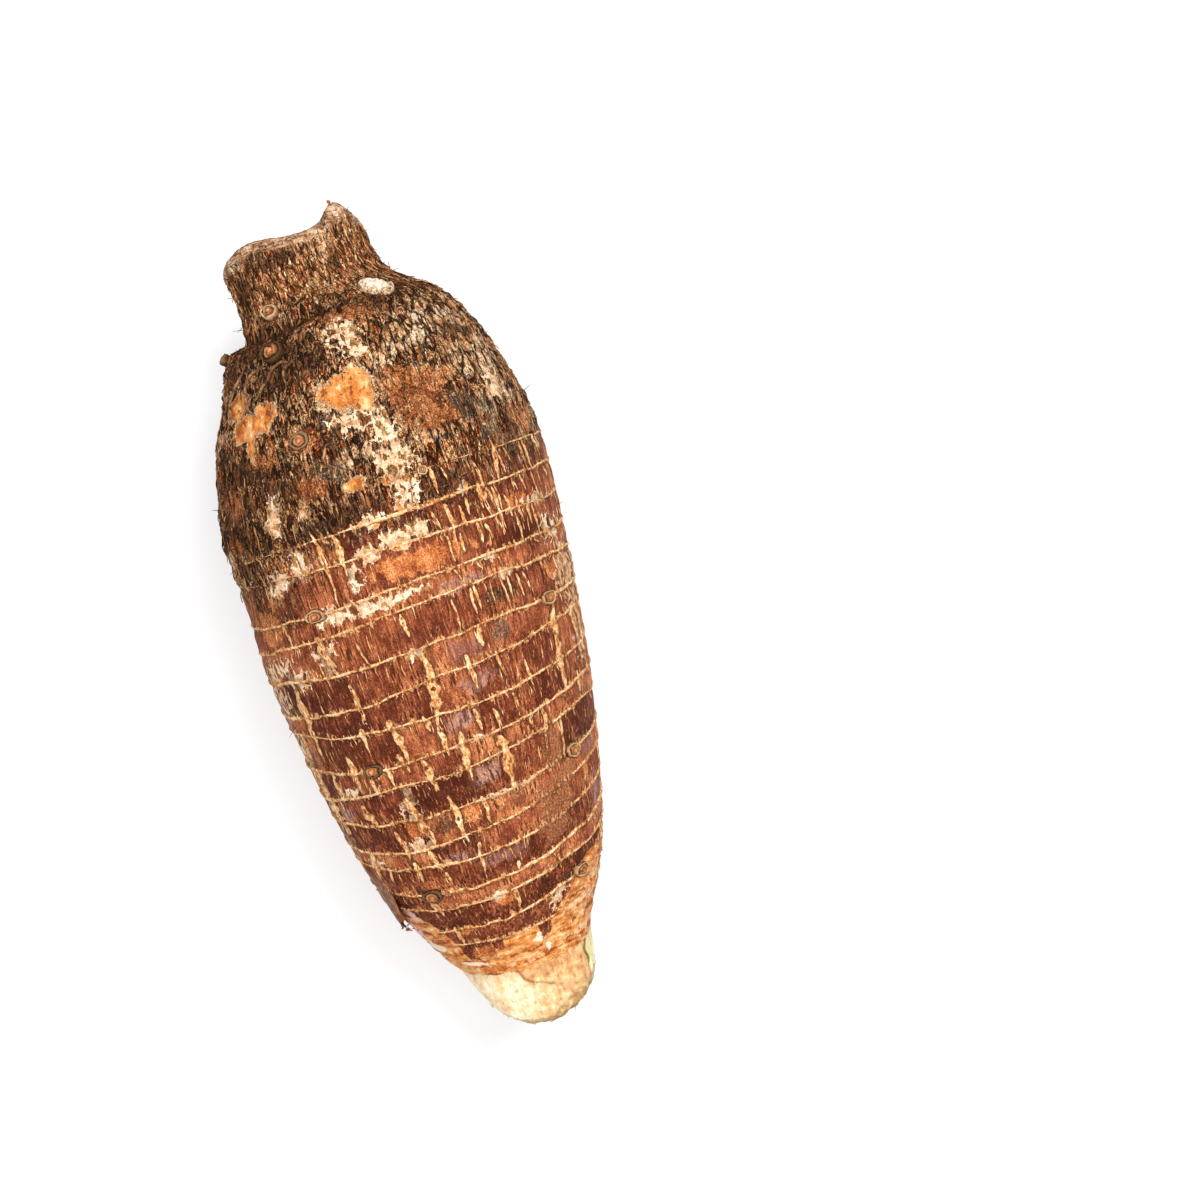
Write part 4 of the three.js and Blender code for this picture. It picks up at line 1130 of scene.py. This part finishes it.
# Crumbs: (angle, y, height over the skin, size).
CRUMBS = [ (-84, -92.2, 1.8, 1.3), (-79, -93, 1.2, 0.9), (-88, -91, 2.2, 1), (-75, -92.6, 0.8, 0.8),
            (-82, -90.4, 2.6, 0.8), (-70, -93.4, 0.5, 0.7), (-92, -78, 0.8, 0.8), (-90, -74.6, 0.5, 0.6),
            (86, 3, 0.3, 0.9), (88, -86.5, 0.2, 1), (87, -88.2, 0.2, 0.7), (-93, -92.6, 1.5, 1.1),
            (-98, -91.4, 1.4, 0.8), (-86, 44, 0.2, 0.7), (-88, 88, 0.4, 0.9), (45, 130.6, 0.9, 1.7), ]
crumbs = []
for index, (crumb_degrees, crumb_y, crumb_lift, crumb_size) in enumerate(CRUMBS):
    bpy.ops.object.select_all(action="DESELECT")
    bpy.ops.mesh.primitive_ico_sphere_add(subdivisions=3, radius=1)
    ball = bpy.context.object
    shape_points = np.array([vertex.co[:] for vertex in ball.data.vertices])
    bumpy = 0.62 + 0.4 * noise(shape_points * 1.3 + index * 5, 95, 2)
    shape_points *= bumpy[:, None] * (1.2, 0.9, 0.7)
    shape_points = shape_points * crumb_size / 2 + on_skin(math.radians(crumb_degrees), crumb_y, crumb_lift)
    ball.data.vertices.foreach_set("co", (shape_points * MM).ravel())
    crumbs.append(ball)
for ball in crumbs:
    ball.select_set(True)
bpy.context.view_layer.objects.active = crumbs[0]
bpy.ops.object.join()
bark_crumbs = bpy.context.object
bark_crumbs.name = bark_crumbs.data.name = "bark_crumbs"
bpy.ops.object.shade_smooth()
crumbly = Recipe("bark_crumb")
grit = crumbly.noise((900, 900, 900), 3, 0.7)
crumbly.set(Base_Color=crumbly.ramp(grit, (0.35, 110, 56, 30), (0.6, 190, 112, 66)), Roughness=0.8,
            Specular_IOR_Level=0.25)
bark_crumbs.data.materials.append(crumbly.material)
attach(bark_crumbs, "root")


# ---- Leaf stalks ----
# The bundle of leaf stalks was cut off a finger's breadth above the corm. It is made of moist cream
# sheaths wrapped round each other, each with a free edge, browned and a little frayed at the cut.

STALK_JOINT = -109
STALK_CUT = (-121.5, -132.5, -121)
STALK_CUT_UNDER = 0.4
STALK_CUT_MIDDLE = -121.5
STALK_EDGES = (-14.6, 21.6)
STALK_BEND = 0.55
STALK_COLUMNS = 260
STALK_SIDE_ROWS = 64
STALK_FACE_ROWS = 24
# Free edge of the outer sheath: y, angle in degrees.
SHEATH_EDGE = np.array([(-135, 38), (-129, 31), (-125.5, 27), (-122.5, 20), (-120, 9), (-118.4, -6),
                           (-115, -10), (-110, -20)])
SLIT = (63, -119.5, -110)


def stalk_field(values, cut_value=0.0):
    """Values of the side rows with plain rows added for the base and the cut face."""
    columns = STALK_COLUMNS + 1
    return np.concatenate([np.zeros((2, columns)), values, np.full((STALK_FACE_ROWS, columns), cut_value)])


stalk_turn = np.linspace(-math.pi, math.pi, STALK_COLUMNS + 1)
stalk_degrees = np.degrees(stalk_turn)
side_part = np.linspace(0, 1, STALK_SIDE_ROWS)[:, None]
joint_y = scar_y(last_scar, stalk_turn)
start_y = joint_y + 3
cut_middle = (STALK_CUT[0] + STALK_CUT[2]) / 2
cut_y = cut_middle + (STALK_CUT[1] - cut_middle) * np.cos(stalk_turn) + (STALK_CUT[2]
                      - STALK_CUT[0]) / 2 * np.sin(stalk_turn)
under = STALK_CUT_MIDDLE + (cut_y - STALK_CUT_MIDDLE) * STALK_CUT_UNDER
cut_y = np.where(np.abs(stalk_turn) < math.pi / 2, cut_y, under)
stalk_y = start_y + (cut_y - start_y) * side_part
draw = side_part ** (1 / STALK_BEND)
left_edge = along(OUTLINE, 1, joint_y) * (1 - draw) + STALK_EDGES[0] * draw
right_edge = along(OUTLINE, 2, joint_y) * (1 - draw) + STALK_EDGES[1] * draw
edge_wave = 1.6 * noise(np.stack([stalk_y * 0.5, stalk_y * 0, stalk_y * 0], axis=-1), 23, 3)
sheath_gap = stalk_degrees - along(SHEATH_EDGE, 1, stalk_y) + edge_wave
outer_layer = smooth(sheath_gap, -1.2, 1.2)
in_slit = 1 - smooth(np.abs(stalk_degrees - SLIT[0] - 2 * np.sin(stalk_y)), 1.2, 3.4)
in_slit = in_slit * smooth(stalk_y, SLIT[1] - 1, SLIT[1] + 1.5) * smooth(-stalk_y, -SLIT[2] - 1, -SLIT[2] + 1)
behind = smooth(stalk_degrees + 0.6 * edge_wave, -122, -118) * smooth(-stalk_degrees, -150, -146)
radius = (right_edge - left_edge) / 2 - 1.3 + 0.75 * outer_layer * behind - 0.9 * in_slit
radius = radius - 1.5 * smooth(side_part, 0.9, 1) ** 2
stalk_side = np.stack([(left_edge + right_edge) / 2 + radius * np.sin(stalk_turn), stalk_y,
                          SPINE_HEIGHT + SPINE_RISE * joint_y + radius * HEIGHT_TO_WIDTH * np.cos(stalk_turn)],
                      axis=-1)
face_part = np.linspace(1, 0, STALK_FACE_ROWS + 1)[1:] ** 0.8
cut_centre = np.array([3.4, STALK_CUT_MIDDLE, SPINE_HEIGHT + SPINE_RISE * STALK_JOINT])
base_centre = np.array([3.4, STALK_JOINT + 4, SPINE_HEIGHT + SPINE_RISE * STALK_JOINT])
cut_face = cut_centre + (stalk_side[-1] - cut_centre) * face_part[:, None, None]
base = base_centre + (stalk_side[0] - base_centre) * np.array([0, 0.5])[:, None, None]
stalk = np.concatenate([base, stalk_side, cut_face])
rows_before, rows_after = np.zeros(2), np.ones(STALK_FACE_ROWS)
on_cut = np.concatenate([rows_before, np.zeros(STALK_SIDE_ROWS), rows_after])[:, None]
browned_side = smooth(stalk_degrees, -5, 40) * smooth(-stalk_degrees, -130, -90)
near_cut = stalk_field(smooth(side_part + 0.17 * browned_side, 0.74, 0.98), 1.0)
wrap = np.hypot(stalk[..., 0] - cut_centre[0], (stalk[..., 2] - cut_centre[2]) / HEIGHT_TO_WIDTH)
stalk_relief = 0.16 * noise(stalk * (0.5, 0.05, 0.5), 21, 2) * (1 - on_cut)
stalk_relief = stalk_relief + 0.35 * noise(stalk * 0.5, 22, 3) * near_cut
layers = np.sin(wrap * 1.25 + stalk_turn + 4 * noise(stalk * 0.13, 24, 3))
stalk_relief = stalk_relief + on_cut * (0.3 * layers + 0.25 * noise(stalk * 0.9, 25, 2))
bump_away = np.hypot((stalk[..., 0] - 12.3), (stalk[..., 1] + 122.5)) / 1.9
stalk_relief = stalk_relief + 0.8 * np.exp(-bump_away ** 2) * (stalk[..., 2] > SPINE_HEIGHT)
stalk_relief[0] = stalk_relief[-1] = 0
stalk += normals_of(stalk) * stalk_relief[..., None]


shape = stalk.shape[:2]
leaf_stub = grid_piece("leaf_stub", stalk, {
    "near_cut": np.broadcast_to(near_cut, shape), "on_cut": np.broadcast_to(on_cut, shape), "layers": layers,
    "outer": stalk_field(outer_layer * behind), "slit": stalk_field(in_slit), "lobe": np.exp(-bump_away ** 2),
    "tanned": stalk_field(smooth(stalk_degrees + 3 * edge_wave, -34, 14)),
    "edge": stalk_field(np.exp(-((sheath_gap - 0.5) / 1.1) ** 2) * smooth(stalk_y, -121.5, -119.5)),
    "right": stalk_field(smooth(stalk_degrees + 0 * stalk_y, SLIT[0] - 3, SLIT[0] + 3)),
    "collar_gap": stalk_field(joint_y - stalk_y, 30),
})
sheath = Recipe("leaf_sheath")
streak = sheath.noise((420, 70, 420), 4, 0.6)
vein = sheath.noise((1300, 110, 1300), 3, 0.6)
dab = sheath.noise((420, 420, 420), 4, 0.65)
wash = sheath.noise((60, 60, 60), 2)
white_sheath = sheath.ramp(sheath.lean(dab, (streak, 0.6), (wash, 0.8)), (0.26, 212, 164, 110),
                               (0.38, 234, 194, 140), (0.5, 244, 214, 166), (0.64, 251, 234, 200))
tan_sheath = sheath.ramp(sheath.lean(dab, (streak, 0.5), (vein, 0.4), (wash, 0.6)), (0.26, 150, 98, 54),
                         (0.4, 194, 138, 84), (0.54, 221, 172, 114), (0.7, 242, 208, 156))
tanned = sheath.sum("MAXIMUM", "outer", sheath.times("tanned", 0.85))
tint = sheath.mix(tanned, white_sheath, tan_sheath)
green_sheath = sheath.mix(sheath.step(streak, 0.35, 0.65), paint(220, 206, 142), paint(247, 238, 200))
tint = sheath.mix("right", tint, green_sheath)
shade_under = sheath.step("collar_gap", 0.5, 5, 0.35, 0)
tint = sheath.mix(shade_under, tint, paint(196, 140, 84))
speckle = sheath.step(sheath.noise((900, 500, 900), 3, 0.7), 0.6, 0.68, 0, 0.6)
tint = sheath.mix(speckle, tint, paint(158, 110, 66))
tint = sheath.mix(sheath.times("edge", sheath.step(dab, 0.3, 0.55, 0.4, 0.95)), tint, paint(128, 82, 44))
tint = sheath.mix(sheath.step("lobe", 0.3, 0.6), tint, sheath.mix(dab, paint(196, 134, 84),
                      paint(240, 196, 150)))
tint = sheath.mix(sheath.step("slit", 0.2, 0.7), tint, sheath.mix(dab, paint(70, 64, 24), paint(150, 148, 60)))
tip_mask = sheath.step(sheath.lean("near_cut", (dab, 1.3)), 0.72, 1.0)
tip_tone = sheath.ramp(dab, (0.36, 96, 66, 36), (0.5, 158, 122, 74), (0.64, 214, 182, 124))
tint = sheath.mix(sheath.times(tip_mask, 0.85), tint, tip_tone)
layered = sheath.step(sheath.lean("layers", (dab, 4), (speckle, 1)), -0.9, 0.8)
cut_tint = sheath.mix(layered, paint(214, 184, 128), paint(246, 228, 184))
cut_tint = sheath.mix(sheath.step(dab, 0.5, 0.7, 0, 0.6), cut_tint, paint(140, 108, 64))
tint = sheath.mix("on_cut", tint, cut_tint)
sheath.set(Base_Color=tint, Roughness=0.5, Specular_IOR_Level=0.35, Subsurface_Weight=0.06, Subsurface_Scale=0.003,
           Normal=sheath.bump(sheath.sum("ADD", vein, streak), 0.0004, 0.6))
leaf_stub.data.materials.append(sheath.material)
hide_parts("leaf_stalk_stub")
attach(leaf_stub, "root")


# ---- Sheath shreds ----
# At the cut and along the foot of the collar a few shreds of sheath and skin have frayed loose.

def on_stalk(angle, part, lift=0.0):
    """Point on the side of the stalks at an angle and a part of their length."""
    column = (np.asarray(angle) + math.pi) / (2 * math.pi) * STALK_COLUMNS
    row = 2 + np.asarray(part) * (STALK_SIDE_ROWS - 1)
    column, row = int(round(float(column))) % STALK_COLUMNS, int(round(float(row)))
    return stalk[row, column] + normals_of(stalk)[row, column] * lift


loops = []
for index in range(64):
    shred_angle = rng.uniform(-math.pi, math.pi)
    long_one = index % 9 == 0
    root = on_stalk(shred_angle, 0.985, -0.3)
    out = on_stalk(shred_angle, 0.9, 1.0) - on_stalk(shred_angle, 0.9, 0.0)
    reach = rng.uniform(1.4, 2.4) if long_one else rng.uniform(0.5, 1.3)
    part = np.linspace(0, 1, 6)[:, None]
    line = root + part * reach * np.array([0, -0.75, 0]) + out * part * reach * rng.uniform(-0.4, 0.5)
    line = line + rng.normal(0, 0.25, 3) * part ** 2 * reach
    loops.append(tube(line, np.linspace(0.3, 0.07, 6), sides=5))
shred_root = np.array([-13.9, -121.6, 43.0])
for k in range(3):
    part = np.linspace(0, 1, 6)[:, None]
    line = shred_root + (0.3 * k, 0.8 * k, 1.5 * k) + part * np.array([-0.4 - 0.3 * k, -3.2 + 0.6 * k,
                             0.4]) + part ** 2 * (0.9, 0, 0)
    loops.append(tube(line, np.linspace(0.42, 0.1, 6), sides=5))
sheath_shreds = strands("sheath_shreds", np.array(loops), tone=rng.uniform(0.3, 1, len(loops))[:, None, None])
shred = Recipe("sheath_shred")
shred.set(Base_Color=shred.ramp(shred.lean("tone", (shred.noise((900, 900, 900)), 0.6)), (0.2, 120, 92, 46),
              (0.6, 196, 170, 104), (0.9, 236, 218, 160)), Roughness=0.6, Specular_IOR_Level=0.3)
sheath_shreds.data.materials.append(shred.material)
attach(sheath_shreds, "root")


# ---- Table, light and camera ----
# A white table top under large soft lights, seen from straight above.

PIXEL = 0.315
FRAME_PIXELS = 1200
CAMERA_HEIGHT = 1048
CAMERA_DISTANCE = 1000
CAMERA_PLACE = (55.7, -10.7)
CAMERA_TURN = -16.57

bpy.ops.object.select_all(action="DESELECT")
bpy.ops.mesh.primitive_plane_add(size=6, location=(0, 0, -0.0004))
table = bpy.context.object
table.name = "table_top"
white = Recipe("white_table")
white.set(Base_Color=paint(196, 196, 197), Roughness=0.7, Emission_Color=(1, 1, 1, 1), Emission_Strength=0.43)
table.data.materials.append(white.material)

world = bpy.data.worlds.new("studio")
bpy.context.scene.world = world
world.use_nodes = True
world.node_tree.nodes["Background"].inputs["Color"].default_value = (1, 1, 1, 1)
seen = world.node_tree.nodes.new("ShaderNodeMath")
seen.operation = "MULTIPLY_ADD"
seen.inputs[1].default_value, seen.inputs[2].default_value = 0.7, 0.16
path_kind = world.node_tree.nodes.new("ShaderNodeLightPath")
world.node_tree.links.new(path_kind.outputs["Is Camera Ray"], seen.inputs[0])
world.node_tree.links.new(seen.outputs[0], world.node_tree.nodes["Background"].inputs["Strength"])


def softbox(name, place, size, power):
    light = bpy.data.lights.new(name, "AREA")
    light.shape = "RECTANGLE"
    light.size, light.size_y = size
    light.energy = power
    lamp = bpy.data.objects.new(name, light)
    bpy.context.collection.objects.link(lamp)
    lamp.location = place
    lamp.rotation_euler = (Vector((0, 0, 0.05)) - Vector(place)).to_track_quat("-Z", "Y").to_euler()


softbox("key_softbox", (0.55, 0.35, 1.25), (0.6, 0.6), 17)
softbox("overhead_softbox", (-0.25, -0.1, 1.3), (1.2, 1.2), 16)

camera_data = bpy.data.cameras.new("camera")
camera_data.sensor_width = 36
camera_data.lens = 36 * CAMERA_DISTANCE / (FRAME_PIXELS * PIXEL)
camera = bpy.data.objects.new("camera", camera_data)
bpy.context.collection.objects.link(camera)
camera.location = (CAMERA_PLACE[0] * MM, CAMERA_PLACE[1] * MM, CAMERA_HEIGHT * MM)
camera.rotation_euler = (0, 0, math.radians(CAMERA_TURN))
bpy.context.scene.camera = camera
bpy.context.scene.view_settings.view_transform = "Standard"
